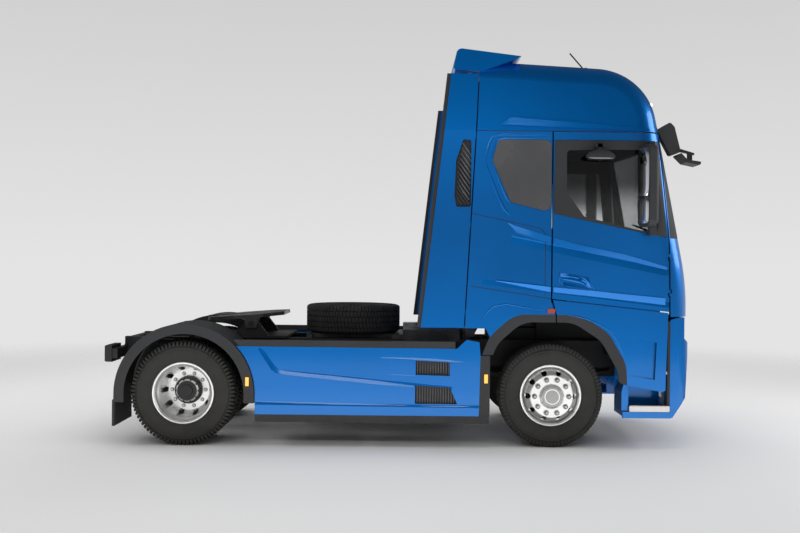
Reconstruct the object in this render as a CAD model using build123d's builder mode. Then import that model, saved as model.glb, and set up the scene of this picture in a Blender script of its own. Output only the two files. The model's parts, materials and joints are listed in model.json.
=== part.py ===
"""Two-axle semi truck tractor unit with a high-roof sleeper cab, in millimetres.

+X is forward, +Y is the left side, +Z is up, and the tyres stand on z = 0.
"""
import os
from functools import lru_cache
from math import cos, radians, sin, sqrt, tan

from build123d import *

# Overall sizes
OVERALL_LENGTH = 5970
FRONT_REACH = 1473
WHEELBASE = 3600
FRONT_X = OVERALL_LENGTH / 2 - FRONT_REACH
REAR_X = FRONT_X - WHEELBASE
REAR_END = -OVERALL_LENGTH / 2
HALF_WIDTH = 1250

# Wheels
TYRE_RADIUS = 510
TYRE_WIDTH = 310
AXLE_Z = TYRE_RADIUS
SEAT_RADIUS = 286
FRONT_TRACK = 1010
REAR_OUTER = 1083
REAR_INNER = 733
SPINDLE_RADIUS = 45
HUB_PROFILE = [(1035, 0), (1035, 110), (1200, 125), (1238, 105), (1244, 80), (1244, 0)]
RUNNING_GAP = 0.05
KINGPIN_Y = 870
KINGPIN_RADIUS = 25
STEER_ARM = 190
TIE_ROD_Z = 430

# Cab form
NOSE_X = 2950
PLAN_RADIUS = 6000
PLAN_CENTRE = NOSE_X - PLAN_RADIUS
CORNER_RADIUS = 240
WALL = 60
SKIN = 40
ROOF_JOINT = 3095
ROOF_LEAN = 9
ROOF_REAR_Z = 3877
CAB_BOTTOM = 1170
FRONT_BOTTOM = 1300
FLOOR_LOW = 1360
FLOOR_TOP = 1420
TILT_X = 2800
TILT_Z = 930
TILT_PIN = 25

# Doors
DOOR_REAR = 1503
DOOR_GAP = 14
HINGE_X = 2645.5
HINGE_Y = 1243
HINGE_PIN = 4

# Front flap
FLAP_HALF = 985
FLAP_LOW = 1306
FLAP_TOP = 2040
FLAP_PIN = 5
FLAP_X = 2874
FLAP_Z = 2046

# Front wheel arch
ARCH_TOP = 1235
ARCH_TRIM = 75
ARCH_SOFT = 300

# Chassis
RAIL_TOP = 1000
RAIL_LOW = 720
RAIL_OUTER = 425
RAIL_INNER = 345
RAIL_WEB = 10
FRAME_FRONT = 2700
FRAME_REAR = -2880
SKIRT_Y = 1232
BUMPER_HALF = 1200
BUMPER_LOW = 310
BUMPER_LIP = 1041
BUMPER_SWEEP = 362
BUMPER_REAR = 2668

# Rear fenders
FENDER_X = REAR_X + 15
FENDER_Z = 505
FENDER_RADIUS = 682
FENDER_LEG = 421

# Fifth wheel
COUPLING_X = -1540
COUPLING_Z = 1150
COUPLING_TILT = 4.5
PLATE_TOP = 95
KINGPIN_BORE = 25.6
COUPLING_PIN = 30

parts = {}


def side_prism(outline, y_low, y_high):
    """Solid of a side outline, points (x, z), between two y stations."""
    with BuildPart() as solid:
        with BuildSketch(Plane.XZ.offset(-y_high)):
            with BuildLine():
                Polyline(*outline, close=True)
            make_face()
        extrude(amount=y_high - y_low)
    return solid.part


def soft_prism(outline, radius, y_low, y_high):
    """Solid of a side outline with rounded corners, between two y stations."""
    with BuildPart() as solid:
        with BuildSketch(Plane.XZ.offset(-y_high)):
            with BuildLine():
                FilletPolyline(*outline, radius=radius, close=True)
            make_face()
        extrude(amount=y_high - y_low)
    return solid.part


def plan_prism(outline, z_low, z_high):
    """Solid of a plan outline, points (x, y), between two heights."""
    with BuildPart() as solid:
        with BuildSketch(Plane.XY.offset(z_low)):
            with BuildLine():
                Polyline(*outline, close=True)
            make_face()
        extrude(amount=z_high - z_low)
    return solid.part


def crease(start, end, y_face, width, depth):
    """Long shallow groove from start to end, points (x, z), in a right-hand face at y_face."""
    run = Vector(end[0] - start[0], 0, end[1] - start[1])
    plane = Plane(origin=(start[0], y_face, start[1]), x_dir=(0, 1, 0), z_dir=run)
    with BuildPart() as groove:
        with BuildSketch(plane):
            with BuildLine():
                Polyline((-5, 0), (0, 0), (depth, -0.15 * width), (0, -width), (-5, -width), close=True)
            make_face()
        extrude(amount=run.length)
    return groove.part


def box(x_low, x_high, y_low, y_high, z_low, z_high):
    """Plain block between its limits."""
    with BuildPart() as solid:
        with Locations(((x_low + x_high) / 2, (y_low + y_high) / 2, (z_low + z_high) / 2)):
            Box(x_high - x_low, y_high - y_low, z_high - z_low)
    return solid.part


def front_prism(outline, x_low, x_high):
    """Solid of a front outline, points (y, z), between two x stations."""
    with BuildPart() as solid:
        with BuildSketch(Plane.YZ.offset(x_low)):
            with BuildLine():
                Polyline(*outline, close=True)
            make_face()
        extrude(amount=x_high - x_low)
    return solid.part


def rod(x, z, radius, y_low, y_high):
    """Round bar along y."""
    with BuildPart() as solid:
        with BuildSketch(Plane.XZ.offset(-y_high)):
            with Locations((x, z)):
                Circle(radius)
        extrude(amount=y_high - y_low)
    return solid.part


def post(x, y, radius, z_low, z_high):
    """Upright round bar."""
    with BuildPart() as solid:
        with BuildSketch(Plane.XY.offset(z_low)):
            with Locations((x, y)):
                Circle(radius)
        extrude(amount=z_high - z_low)
    return solid.part


def turned(outline, x, z, y_side):
    """Solid turned about a wheel axis; outline points are (axial, radius), outward along y_side."""
    with BuildPart() as solid:
        with BuildSketch(Plane.XY.offset(z)):
            with BuildLine():
                Polyline(*[(x + radius, y_side * axial) for axial, radius in outline], close=True)
            make_face()
        revolve(axis=Axis((x, 0, z), (0, 1, 0)), revolution_arc=360)
    return solid.part


def joined(*solids):
    """One part of all the solids given."""
    with BuildPart() as whole:
        for solid in solids:
            add(solid)
    return whole.part


def less(solid, *tools):
    """The solid with the tools cut from it."""
    with BuildPart() as rest:
        add(solid)
        for tool in tools:
            add(tool, mode=Mode.SUBTRACT)
    return rest.part


def common(*solids):
    """What all the solids share."""
    with BuildPart() as shared:
        add(solids[0])
        for solid in solids[1:]:
            add(solid, mode=Mode.INTERSECT)
    return shared.part


def both_sides(*solids):
    """The solids and their mirror images across the middle plane."""
    with BuildPart() as pair:
        for solid in solids:
            add(solid)
        mirror(about=Plane.XZ)
    return pair.part


def other_side(solid):
    """Mirror image across the middle plane."""
    with BuildPart() as image:
        mirror(solid, about=Plane.XZ)
    return image.part


@lru_cache(maxsize=None)
def cab_form(inset, leaning):
    """Cab outside form taken in by inset: front and roof turned about a far upright axis."""
    sweep_angle = 24
    slope = radians(sweep_angle)
    turn_plane = Plane(
        origin=(PLAN_CENTRE, 0, 0),
        x_dir=(cos(slope), -sin(slope), 0),
        z_dir=(-sin(slope), -cos(slope), 0),
    )
    back = 100 - PLAN_CENTRE
    nose = NOSE_X - PLAN_CENTRE
    brow = 2545 - PLAN_CENTRE
    half = HALF_WIDTH - inset
    high = 4200
    low = 500
    draw_in = tan(radians(ROOF_LEAN)) if leaning else 0
    with BuildPart() as form:
        with BuildSketch(turn_plane):
            with BuildLine():
                FilletPolyline((back, ROOF_REAR_Z), (brow, 3735), (nose, 1620), (nose, 0), radius=[620, 2500])
                Polyline((nose, 0), (back, 0), (back, ROOF_REAR_Z))
            make_face()
            if inset:
                offset(amount=-inset)
        revolve(axis=Axis((PLAN_CENTRE, 0, 0), (0, 0, 1)), revolution_arc=2 * sweep_angle)
        with BuildSketch(Plane.YZ):
            with BuildLine():
                wide = half + draw_in * (ROOF_JOINT - low)
                narrow = half - draw_in * (high - ROOF_JOINT)
                Polyline((-wide, low), (wide, low), (narrow, high), (-narrow, high), close=True)
            make_face()
        extrude(amount=3500, mode=Mode.INTERSECT)
        with BuildSketch(Plane.XZ.offset(-2000)):
            with BuildLine():
                Polyline((620 + inset, 480), (815 + inset, 4200), (3200, 4200), (3200, 480), close=True)
            make_face()
        extrude(amount=4000, mode=Mode.INTERSECT)
        corners = [
            edge
            for edge in form.edges()
            if abs(edge.center().Y) > 500 and edge.center().Z > 510 and edge.center().X > 900
        ]
        fillet(corners, radius=CORNER_RADIUS - inset)
    return form.part


# Cab shell: lower body and roof, both hollow
body_outer = cab_form(0, False)
body_inner = cab_form(WALL, False)
body_skin = cab_form(SKIN, False)
pane_outer = cab_form(6, False)
pane_inner = cab_form(18, False)
roof_outer = cab_form(0, True)
roof_inner = cab_form(WALL, True)
body_shell = less(body_outer, body_inner)
panel_shell = less(body_outer, body_skin)
pane_shell = less(pane_outer, pane_inner)
right_half = box(-500, 3300, -1400, 0, 0, 4300)
right_side = box(-500, 3300, -1400, -1150, 0, 4300)

roof_shell = less(roof_outer, roof_inner)
parts["cab_roof"] = common(roof_shell, box(500, 3300, -1400, 1400, ROOF_JOINT, 4300))

# Door outline and what lies before and behind it, in side view
DOOR_FRONT_LINE = [(2640, 1347), (2633, 2049), (2543, 3018), (2536, 3087)]
DOOR_BOTTOM_REAR = 1464
door_outline = [(DOOR_REAR, DOOR_BOTTOM_REAR), *DOOR_FRONT_LINE, (DOOR_REAR, 3087)]
front_outline = [(x + DOOR_GAP, z) for x, z in DOOR_FRONT_LINE]
front_outline = [(front_outline[0][0], FRONT_BOTTOM), *front_outline[:-1], (2540, ROOF_JOINT)]
front_region = side_prism([*front_outline, (3200, ROOF_JOINT), (3200, FRONT_BOTTOM)], -1400, 1400)

rear_slope = (815 - 620) / (4200 - 480)


def rear_face(z):
    """X of the cab's leaning rear face at height z."""
    return 620 + rear_slope * (z - 480)


rear_region = side_prism(
    [
        (300, CAB_BOTTOM),
        (rear_face(CAB_BOTTOM) + WALL, CAB_BOTTOM),
        (rear_face(ROOF_JOINT) + WALL, ROOF_JOINT),
        (300, ROOF_JOINT),
    ],
    -1400,
    1400,
)
parts["cab_rear_wall"] = common(body_shell, rear_region)

# Wheel arch opening in side view
arch_outline = [
    (FRONT_X - 650, 300),
    (FRONT_X - 640, 760),
    (FRONT_X - 540, 1020),
    (FRONT_X - 300, ARCH_TOP),
    (FRONT_X + 200, ARCH_TOP),
    (FRONT_X + 470, 1060),
    (FRONT_X + 640, 760),
    (FRONT_X + 670, 300),
]
trim_outline = [
    (x + (ARCH_TRIM if x > FRONT_X else -ARCH_TRIM), z + ARCH_TRIM * (z > 600)) for x, z in arch_outline
]


def arch_prism(outline):
    """Solid of a wheel arch outline, open at the bottom, on the right side."""
    with BuildPart() as solid:
        with BuildSketch(Plane.XZ):
            with BuildLine():
                FilletPolyline(*outline, radius=ARCH_SOFT)
                Line(outline[-1], outline[0])
            make_face()
        extrude(amount=1400)
    return solid.part


arch_void = arch_prism(arch_outline)
trim_void = arch_prism(trim_outline)

# Cab quarter behind the door, with a recess for its dark side panel
quarter_outline = [
    (rear_face(CAB_BOTTOM) + WALL, CAB_BOTTOM),
    (DOOR_REAR - DOOR_GAP, CAB_BOTTOM),
    (DOOR_REAR - DOOR_GAP, ROOF_JOINT),
    (rear_face(ROOF_JOINT) + WALL, ROOF_JOINT),
]
FEATURE_LINES = [
    {"start": (1105, 2075), "end": (2660, 1768), "width": 78, "depth": 9},
    {"start": (830, 1662), "end": (2660, 1448), "width": 62, "depth": 8},
]
feature_cuts = [
    crease(row["start"], row["end"], -HALF_WIDTH, row["width"], row["depth"]) for row in FEATURE_LINES
]
PANEL_SOFT = 70
SIDE_PANEL = [(961, 3013), (1488, 3013), (1488, 2300), (1085, 2395), (905, 2808)]
quarter = common(body_shell, right_half, side_prism(quarter_outline, -1400, 0))
lower_quarter_outline = [
    (860, CAB_BOTTOM),
    (905, 1075),
    (DOOR_REAR + 34, 1075),
    (DOOR_REAR + 34, 1300),
    (DOOR_REAR - DOOR_GAP, 1450),
    (DOOR_REAR - DOOR_GAP, CAB_BOTTOM),
]
rear_band_outline = [(822, 914), (DOOR_REAR + 34, 914), (DOOR_REAR + 34, 1400), (822, 1400)]
panel_recess = less(common(body_outer, soft_prism(SIDE_PANEL, PANEL_SOFT, -1400, 0)), cab_form(14, False))
lower_quarter = less(
    common(panel_shell, right_side, side_prism(lower_quarter_outline, -1400, 0)), trim_void
)
quarter = joined(less(quarter, panel_recess, trim_void, *feature_cuts), lower_quarter)
parts["cab_sides"] = both_sides(quarter)
inner_panel = [(x + (4 if x < 1200 else -4), z + (-4 if z > 2500 else 5)) for x, z in SIDE_PANEL]
side_panel_face = common(body_outer, soft_prism(inner_panel, PANEL_SOFT - 4, -1400, 0))
side_panel = less(side_panel_face, cab_form(13.7, False))
parts["side_windows"] = both_sides(side_panel)

# Cab front: pillars, screen frame and lower corners, open for the screen and the flap
screen_outline = [(-1030, 2130), (1030, 2130), (985, 3040), (-985, 3040)]
with BuildPart() as screen_void:
    with BuildSketch(Plane.YZ.offset(2300)):
        with BuildLine():
            Polyline(*screen_outline, close=True)
        make_face()
    extrude(amount=900)
flap_void = box(2700, 3300, -FLAP_HALF - 8, FLAP_HALF + 8, FLAP_LOW - 60, FLAP_TOP + 14)
firewall = common(body_inner, box(2690, 2750, -1300, 1300, FLOOR_LOW, 2090))
front_frame = less(common(body_shell, front_region), screen_void.part, flap_void)
hinge_shelf = common(
    body_inner, box(2690, 3100, -1100, 1100, FLAP_TOP + 30, 2105)
)
PILLAR = [(2651, 2064), (2562, 3012), (3200, 3012), (3200, 2064)]
inner_pillar = [(2654, 2067), (2565, 3009), (3200, 3009), (3200, 2067)]
pillar_recess = less(common(body_outer, side_prism(PILLAR, -1400, 1400)), cab_form(14, False))
pillar_cover = less(
    common(body_outer, side_prism(inner_pillar, -1400, 0), box(2500, 3300, -1400, -1000, 2000, 3100)),
    cab_form(13.7, False),
    screen_void.part,
)
cab_front = joined(less(front_frame, pillar_recess), firewall, hinge_shelf)

# Door hinges: pins on the cab front, sleeves on the door
HINGE_ROWS = [
    {"z": 1500},
    {"z": 1850},
]
hinge_pins = []
hinge_sleeves = []
for row in HINGE_ROWS:
    lug = box(HINGE_X - 3, HINGE_X + 30, -HINGE_Y - 3, -HINGE_Y + 12, row["z"], row["z"] + 30)
    pin = post(HINGE_X, -HINGE_Y, HINGE_PIN - RUNNING_GAP, row["z"] + 10, row["z"] + 64)
    hinge_pins.append(joined(lug, pin))
    leaf = box(HINGE_X - 30, HINGE_X + 3, -HINGE_Y - 3, -HINGE_Y + 12, row["z"] + 31, row["z"] + 62)
    sleeve = post(HINGE_X, -HINGE_Y, HINGE_PIN + 3, row["z"] + 31, row["z"] + 62)
    bore = post(HINGE_X, -HINGE_Y, HINGE_PIN, row["z"] + 20, row["z"] + 70)
    hinge_sleeves.append(less(joined(leaf, sleeve), bore))
door_pockets = [post(HINGE_X, -HINGE_Y, 20, row["z"] - 6, row["z"] + 31) for row in HINGE_ROWS]
front_pockets = [post(HINGE_X, -HINGE_Y, 20, row["z"] + 30, row["z"] + 70) for row in HINGE_ROWS]
cab_front = joined(less(cab_front, both_sides(*front_pockets)), both_sides(*hinge_pins))

# Flap hinge pins on the cab front
flap_pins = []
for y in (-250, 250):
    pin = rod(FLAP_X, FLAP_Z, FLAP_PIN - RUNNING_GAP, y - 50, y + 50)
    lug = box(FLAP_X - 26, FLAP_X + 7, y - 50, y - 25, FLAP_Z - 4, FLAP_Z + 26)
    flap_pins.append(joined(pin, lug))
parts["cab_front"] = joined(cab_front, *flap_pins)

windscreen = common(pane_shell, screen_void.part, box(2300, 3200, -1200, 1200, 2132, 3038))
parts["windscreen"] = windscreen

# Front flap with a grille frame
flap = common(
    less(cab_form(0, False), cab_form(28, False)),
    box(2750, 3300, -FLAP_HALF, FLAP_HALF, FLAP_LOW, FLAP_TOP),
)
GRILLE_ROWS = [
    {"low": 1365, "high": 1500, "half": 820},
    {"low": 1530, "high": 1640, "half": 820},
    {"low": 1670, "high": 1760, "half": 820},
]
grille_voids = [box(2700, 3300, -row["half"], row["half"], row["low"], row["high"]) for row in GRILLE_ROWS]
flap_sleeves = []
for y in (-250, 250):
    sleeve = rod(FLAP_X, FLAP_Z, FLAP_PIN + 4, y - 24, y + 40)
    arm = box(FLAP_X - 20, FLAP_X + 2, y - 24, y + 40, FLAP_Z - 40, FLAP_Z - 4)
    flap_sleeves.append(joined(sleeve, arm))
flap_bores = [rod(FLAP_X, FLAP_Z, FLAP_PIN, y - 70, y + 70) for y in (-250, 250)]
parts["front_flap"] = less(joined(less(flap, *grille_voids), *flap_sleeves), *flap_bores)
grille_skin = less(cab_form(28.3, False), cab_form(42, False))
grille_back = common(grille_skin, box(2700, 3300, -850, 850, 1345, 1780))
grille_slats = [
    common(less(cab_form(6, False), cab_form(30, False)), box(2700, 3300, -812, 812, z, z + 14))
    for z in (1395, 1440, 1558, 1596, 1700)
]
parts["grille"] = joined(grille_back, *grille_slats)

# Doors, each with the panel below it that covers the entry steps
GLASS_OUTLINE = [(1632, 2912), (1634, 2508), (1806, 2266), (2346, 2140), (2530, 2112), (2455, 2925)]
BAND_OUTLINE = [(1511, 3013), (1511, 2292), (2346, 2120), (2618, 2068), (2536, 3010)]
door_skin = common(body_shell, right_half, side_prism(door_outline, -1400, 0))
EXTENSION = [
    (DOOR_REAR + 6, DOOR_BOTTOM_REAR - 10),
    (DOOR_REAR + 48, 1300),
    (DOOR_REAR + 48, 1100),
    (2192, 640),
    (2577, 568),
    (2609, 583),
    (2632, 1338),
]
extension = less(
    common(panel_shell, right_half, side_prism(EXTENSION, -1400, 0)), trim_void
)
RECESS = [(2337, 1074), (2522, 1047), (2506, 687), (2234, 733)]
recess_wedge = plan_prism(
    [(2225, -HALF_WIDTH - 1), (2523, -HALF_WIDTH - 1), (2523, -HALF_WIDTH + 27)], 600, 1200
)
extension_recess = common(side_prism(RECESS, -1400, 0), recess_wedge)
handle_bar = side_prism(
    [(1560, 1676), (1790, 1652), (1800, 1612), (1560, 1636)], -HALF_WIDTH + 2, -HALF_WIDTH + 12
)
link = box(1650, 2560, -1214, -1192, 1330, 1480)
link = common(link, side_prism([(1650, 1330), (2560, 1240), (2560, 1480), (1650, 1480)], -1400, 0))
HANDLE = [(1574, 1708), (1850, 1680), (1886, 1560), (1600, 1600)]
handle_recess = less(common(body_outer, side_prism(HANDLE, -1400, 0)), cab_form(22, False))
band_recess = less(common(body_outer, side_prism(BAND_OUTLINE, -1400, 0)), cab_form(14, False))
glass_void = soft_prism(GLASS_OUTLINE, 40, -1400, 0)
door = joined(
    less(
        joined(less(door_skin, band_recess, glass_void, handle_recess, *feature_cuts),
               less(extension, extension_recess), link),
        *door_pockets,
    ),
    handle_bar,
    *hinge_sleeves,
)
for row in HINGE_ROWS:
    door = less(door, post(HINGE_X, -HINGE_Y, HINGE_PIN, row["z"] + 20, row["z"] + 70))
parts["door_right"] = door
parts["door_left"] = other_side(door)
inner_band = [(x + (3 if x < 2000 else -3), z + (-3 if z > 2700 else 3)) for x, z in BAND_OUTLINE]
band = less(common(body_outer, side_prism(inner_band, -1400, 0)), cab_form(13.7, False), glass_void)
pane = common(pane_shell, right_half, glass_void)
parts["door_glass_right"] = pane
parts["door_glass_left"] = other_side(pane)

# Outside mirrors on the doors
MIRROR_TURN = radians(14)
mirror_plane = Plane(
    origin=(2345, -1395, 2560),
    x_dir=(-sin(MIRROR_TURN), cos(MIRROR_TURN), 0),
    z_dir=(cos(MIRROR_TURN), sin(MIRROR_TURN), 0),
)
with BuildPart() as mirror_head:
    with BuildSketch(mirror_plane):
        RectangleRounded(244, 790, 80)
    extrude(amount=112)
    fillet(mirror_head.faces().sort_by(Axis.X)[-1].edges(), radius=50)
mirror_arms = [
    less(box(2390, 2440, -1420, -1100, 2950, 2985), body_outer),
    box(2390, 2440, -1420, -1340, 2930, 2985),
    less(box(2415, 2465, -1420, -1100, 2086, 2112), body_outer),
    box(2400, 2465, -1420, -1340, 2086, 2180),
]
arch_band_front = less(
    common(panel_shell, right_half, trim_void, side_prism(EXTENSION, -1400, 0)), arch_void
)
door_trim = joined(band, *mirror_arms, mirror_head.part, arch_band_front)
parts["door_trim_right"] = door_trim
parts["door_trim_left"] = other_side(door_trim)

# Cab floor with tunnel beams and tilt arms
floor = common(
    cab_form(WALL, False),
    box(rear_face(FLOOR_LOW) + WALL, 2690, -1300, 1300, FLOOR_LOW, FLOOR_TOP),
)
ARM_KNEE = 2480
beams = [box(800, ARM_KNEE, y - 45, y + 45, FLOOR_LOW - 110, FLOOR_LOW) for y in (-470, 470)]
arms = []
for y in (-470, 470):
    arm = side_prism(
        [(TILT_X + 22, TILT_Z + 39), (TILT_X + 22, TILT_Z - 40), (TILT_X - 22, TILT_Z - 39), (2360, 1140),
         (2330, FLOOR_LOW), (ARM_KNEE, FLOOR_LOW), (ARM_KNEE, 1168)],
        y - 20,
        y + 20,
    )
    eye = rod(TILT_X, TILT_Z, 50, y - 20, y + 20)
    arms.append(less(joined(arm, eye), rod(TILT_X, TILT_Z, TILT_PIN, y - 60, y + 60)))
parts["cab_floor"] = joined(floor, *beams, *arms)

# Side deflectors behind the cab
DEFLECTOR_GAP = 12
DEFLECTOR = [
    (rear_face(1175) - DEFLECTOR_GAP, 1175), (rear_face(3660) - DEFLECTOR_GAP, 3660), (505, 3668), (226, 1175)
]
VENT = [(625, 3009), (703, 3000), (703, 2352), (560, 2350), (541, 2465), (556, 2805)]
roof_draw = tan(radians(ROOF_LEAN))


def side_layer(outside, inside):
    """Upright layer along the right cab side that leans in with the roof."""
    return front_prism(
        [(-HALF_WIDTH + outside, 900), (-HALF_WIDTH + outside, ROOF_JOINT),
         (-HALF_WIDTH + outside + roof_draw * 700, ROOF_JOINT + 700),
         (-HALF_WIDTH + inside + roof_draw * 700, ROOF_JOINT + 700),
         (-HALF_WIDTH + inside, ROOF_JOINT), (-HALF_WIDTH + inside, 900)],
        -500,
        1500,
    )


deflector = common(side_prism(DEFLECTOR, -1400, 0), side_layer(0, 42))
deflector = less(deflector, soft_prism(VENT, 20, -1400, 0))
deflector_stays = []
for low in (1300, 2150, 3025):
    deflector_stays.append(
        side_prism(
            [(rear_face(low) - 90, low), (rear_face(low) - 0.3, low), (rear_face(low + 60) - 0.3, low + 60),
             (rear_face(low) - 90, low + 60)],
            -HALF_WIDTH + 35, -HALF_WIDTH + 80,
        )
    )
parts["side_deflectors"] = both_sides(joined(deflector, *deflector_stays))
edge_line = side_prism([(226, 1175), (505, 3668), (467, 3668), (188, 1175)], -1400, 0)
edge_strip = common(edge_line, side_layer(14, 34))
vent_plate = soft_prism(VENT, 20, -1222, -1208)
VENT_INNER = [(632, 2985), (690, 2978), (690, 2372), (578, 2372), (560, 2465), (572, 2795)]
vent_slats = []
for count in range(13):
    low = 2470 + 52 * count
    slat = side_prism([(540, low), (710, low - 250), (710, low - 226), (540, low + 24)], -1246, -1221)
    vent_slats.append(common(slat, side_prism(VENT_INNER, -1400, 0)))

# Roof spoiler
with BuildPart() as spoiler_form:
    with BuildSketch(Plane.XZ.offset(-1300)):
        with BuildLine():
            FilletPolyline((1195, 3846), (566, 3925), (524, 3705), (815, 3690), radius=[55, 20])
            Polyline((815, 3690), (1165, 3826), (1195, 3846))
        make_face()
    extrude(amount=2600)
spoiler_width = front_prism(
    [(side * (HALF_WIDTH - roof_draw * (z - ROOF_JOINT) + 5), z)
     for side, z in ((-1, 3600), (1, 3600), (1, 4000), (-1, 4000))],
    300,
    1500,
)
spoiler_hollow = side_prism([(500, 3600), (560, 3718), (604, 3885), (840, 3855), (840, 3600)], -1085, 1085)
spoiler_shell = less(common(spoiler_form.part, spoiler_width), roof_outer, spoiler_hollow)
parts["roof_spoiler"] = spoiler_shell

# Dark cab trims: rubber edges, vents, rear arch bands, pillar covers, arch liners, front mirror and aerial
arch_band_rear = less(
    common(panel_shell, right_side, trim_void, side_prism(rear_band_outline, -1400, 0)), arch_void
)
mirror_pod = soft_prism(
    [(2560, 3150), (2690, 3225), (2735, 3180), (2800, 2930), (2700, 2890)], 25, -1040, -930
)
mirror_arm = side_prism([(2740, 2985), (2945, 2925), (2945, 2905), (2740, 2950)], -1000, -965)
mirror_stalk = box(2880, 2925, -1000, -965, 2830, 2925)
mirror_dish = soft_prism(
    [(2760, 2900), (2840, 2822), (2970, 2796), (3004, 2828), (2850, 2850), (2790, 2915)], 9, -1090, -880
)
mirror_dish = common(mirror_dish, box(2700, OVERALL_LENGTH / 2, -1100, -800, 2700, 3000))
front_mirror = less(joined(mirror_pod, mirror_arm, mirror_stalk, mirror_dish), cab_form(0, False), roof_outer)
aerial_plane = Plane(origin=(1880, -950, 3715), x_dir=(0, 1, 0), z_dir=(-150, 0, 170))
with BuildPart() as aerial:
    with BuildSketch(aerial_plane):
        Circle(7)
    extrude(amount=270)
    add(soft_prism([(1800, 3700), (1905, 3700), (1870, 3772), (1845, 3772)], 8, -970, -930))
aerial_mast = less(aerial.part, roof_outer)

# Wheel arch liners under the floor
arch_liner = joined(
    box(880, 2162, -1140, -560, 1262, 1274),
    box(880, 2162, -572, -560, 1262, FLOOR_LOW - 0.3),
    box(2150, 2162, -1140, -560, 880, 1274),
)
parts["cab_trims"] = joined(
    both_sides(edge_strip, vent_plate, *vent_slats, arch_band_rear, pillar_cover, arch_liner),
    front_mirror,
    aerial_mast,
)

# Seats, bunk and dashboard
seat_parts = []
for y in (-600, 600):
    seat_parts.append(box(1560, 1980, y - 150, y + 150, FLOOR_TOP, 1700))
    seat_parts.append(box(1500, 2060, y - 260, y + 260, 1700, 1830))
    seat_parts.append(side_prism([(1500, 1800), (1640, 1800), (1480, 2560), (1370, 2560)], y - 250, y + 250))
bunk = joined(
    box(rear_face(FLOOR_TOP) + WALL + 60, 1340, -1150, 1150, FLOOR_TOP, 1900),
)
parts["seats"] = joined(*seat_parts, bunk)
dash = joined(
    side_prism([(2690, FLOOR_TOP), (2690, 2080), (2470, 2060), (2360, 1900), (2520, 1800), (2520, FLOOR_TOP)],
               -1040, 1040),
)
wheel_plane = Plane(origin=(2310, 600, 1980), x_dir=(cos(radians(35)), 0, sin(radians(35))),
                    z_dir=(-sin(radians(35)), 0, cos(radians(35))))
with BuildPart() as wheel_rim:
    with BuildSketch(wheel_plane):
        Circle(235)
        Circle(205, mode=Mode.SUBTRACT)
        Rectangle(420, 40)
        Circle(70)
    extrude(amount=26)
    with BuildSketch(wheel_plane):
        Circle(30)
    extrude(amount=-330)
parts["dashboard"] = joined(dash, wheel_rim.part)

# Chassis frame: channel rails and cross members
rail = less(
    box(FRAME_REAR, FRAME_FRONT, -RAIL_OUTER, -RAIL_INNER, RAIL_LOW, RAIL_TOP),
    box(
        FRAME_REAR - 10, FRAME_FRONT + 10, -RAIL_OUTER + RAIL_WEB, 0, RAIL_LOW + RAIL_WEB, RAIL_TOP - RAIL_WEB
    ),
)
CROSS_ROWS = [
    {"x": 2640, "low": 760, "high": 960},
    {"x": 350, "low": 780, "high": 940},
    {"x": -1000, "low": 780, "high": 940},
    {"x": -2300, "low": 780, "high": 940},
    {"x": -2840, "low": 730, "high": 990},
]
cross_members = [
    box(row["x"] - 40, row["x"] + 40, -RAIL_OUTER + RAIL_WEB, RAIL_OUTER - RAIL_WEB, row["low"], row["high"])
    for row in CROSS_ROWS
]
tilt_brackets = []
for y in (-470, 470):
    sign = 1 if y > 0 else -1
    cheek = box(2600, TILT_X + 45, min(sign * 400, sign * 444), max(sign * 400, sign * 444), 780, TILT_Z + 50)
    pin_low, pin_high = sorted((sign * 420, sign * 510))
    pin = rod(TILT_X, TILT_Z, TILT_PIN - RUNNING_GAP, pin_low, pin_high)
    tilt_brackets.append(joined(cheek, pin))
rear_bar = box(REAR_END + 60, REAR_END + 130, -780, 780, 800, 900)
bar_arm = box(REAR_END + 100, FRAME_REAR + 10, -420, -350, 780, 920)
lamp_housing = box(REAR_END + 12.3, REAR_END + 75, -790, -465, 765, 935)
cab_support = box(690, 770, -1000, 1000, 1070, 1145)
support_leg = box(695, 765, -RAIL_OUTER, -RAIL_INNER, RAIL_TOP - 5, 1075)
parts["frame"] = joined(
    both_sides(rail, bar_arm, lamp_housing, support_leg),
    *cross_members,
    *tilt_brackets,
    rear_bar,
    cab_support,
)

# Front axle with springs
BEAM_END = KINGPIN_Y - 105
beam = box(FRONT_X - 60, FRONT_X + 60, -BEAM_END, BEAM_END, 430, 540)
beam_end = box(FRONT_X - 55, FRONT_X + 55, -KINGPIN_Y, -BEAM_END + 10, 455, 565)
boss = post(FRONT_X, -KINGPIN_Y, 55, 455, 565)
kingpin = post(FRONT_X, -KINGPIN_Y, KINGPIN_RADIUS - RUNNING_GAP, 380, 640)
spring = side_prism(
    [(FRONT_X - 780, 700), (FRONT_X - 760, 660), (FRONT_X - 120, 545), (FRONT_X + 120, 545),
     (FRONT_X + 780, 660), (FRONT_X + 800, 700), (FRONT_X + 120, 600), (FRONT_X - 120, 600)],
    -425, -350,
)
spring_seat = box(FRONT_X - 110, FRONT_X + 110, -430, -345, 535, 560)
hangers = [box(x - 40, x + 40, -425, -350, 660, RAIL_LOW) for x in (FRONT_X - 760, FRONT_X + 770)]
parts["front_axle"] = joined(beam, both_sides(beam_end, boss, kingpin, spring, spring_seat, *hangers))

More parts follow.
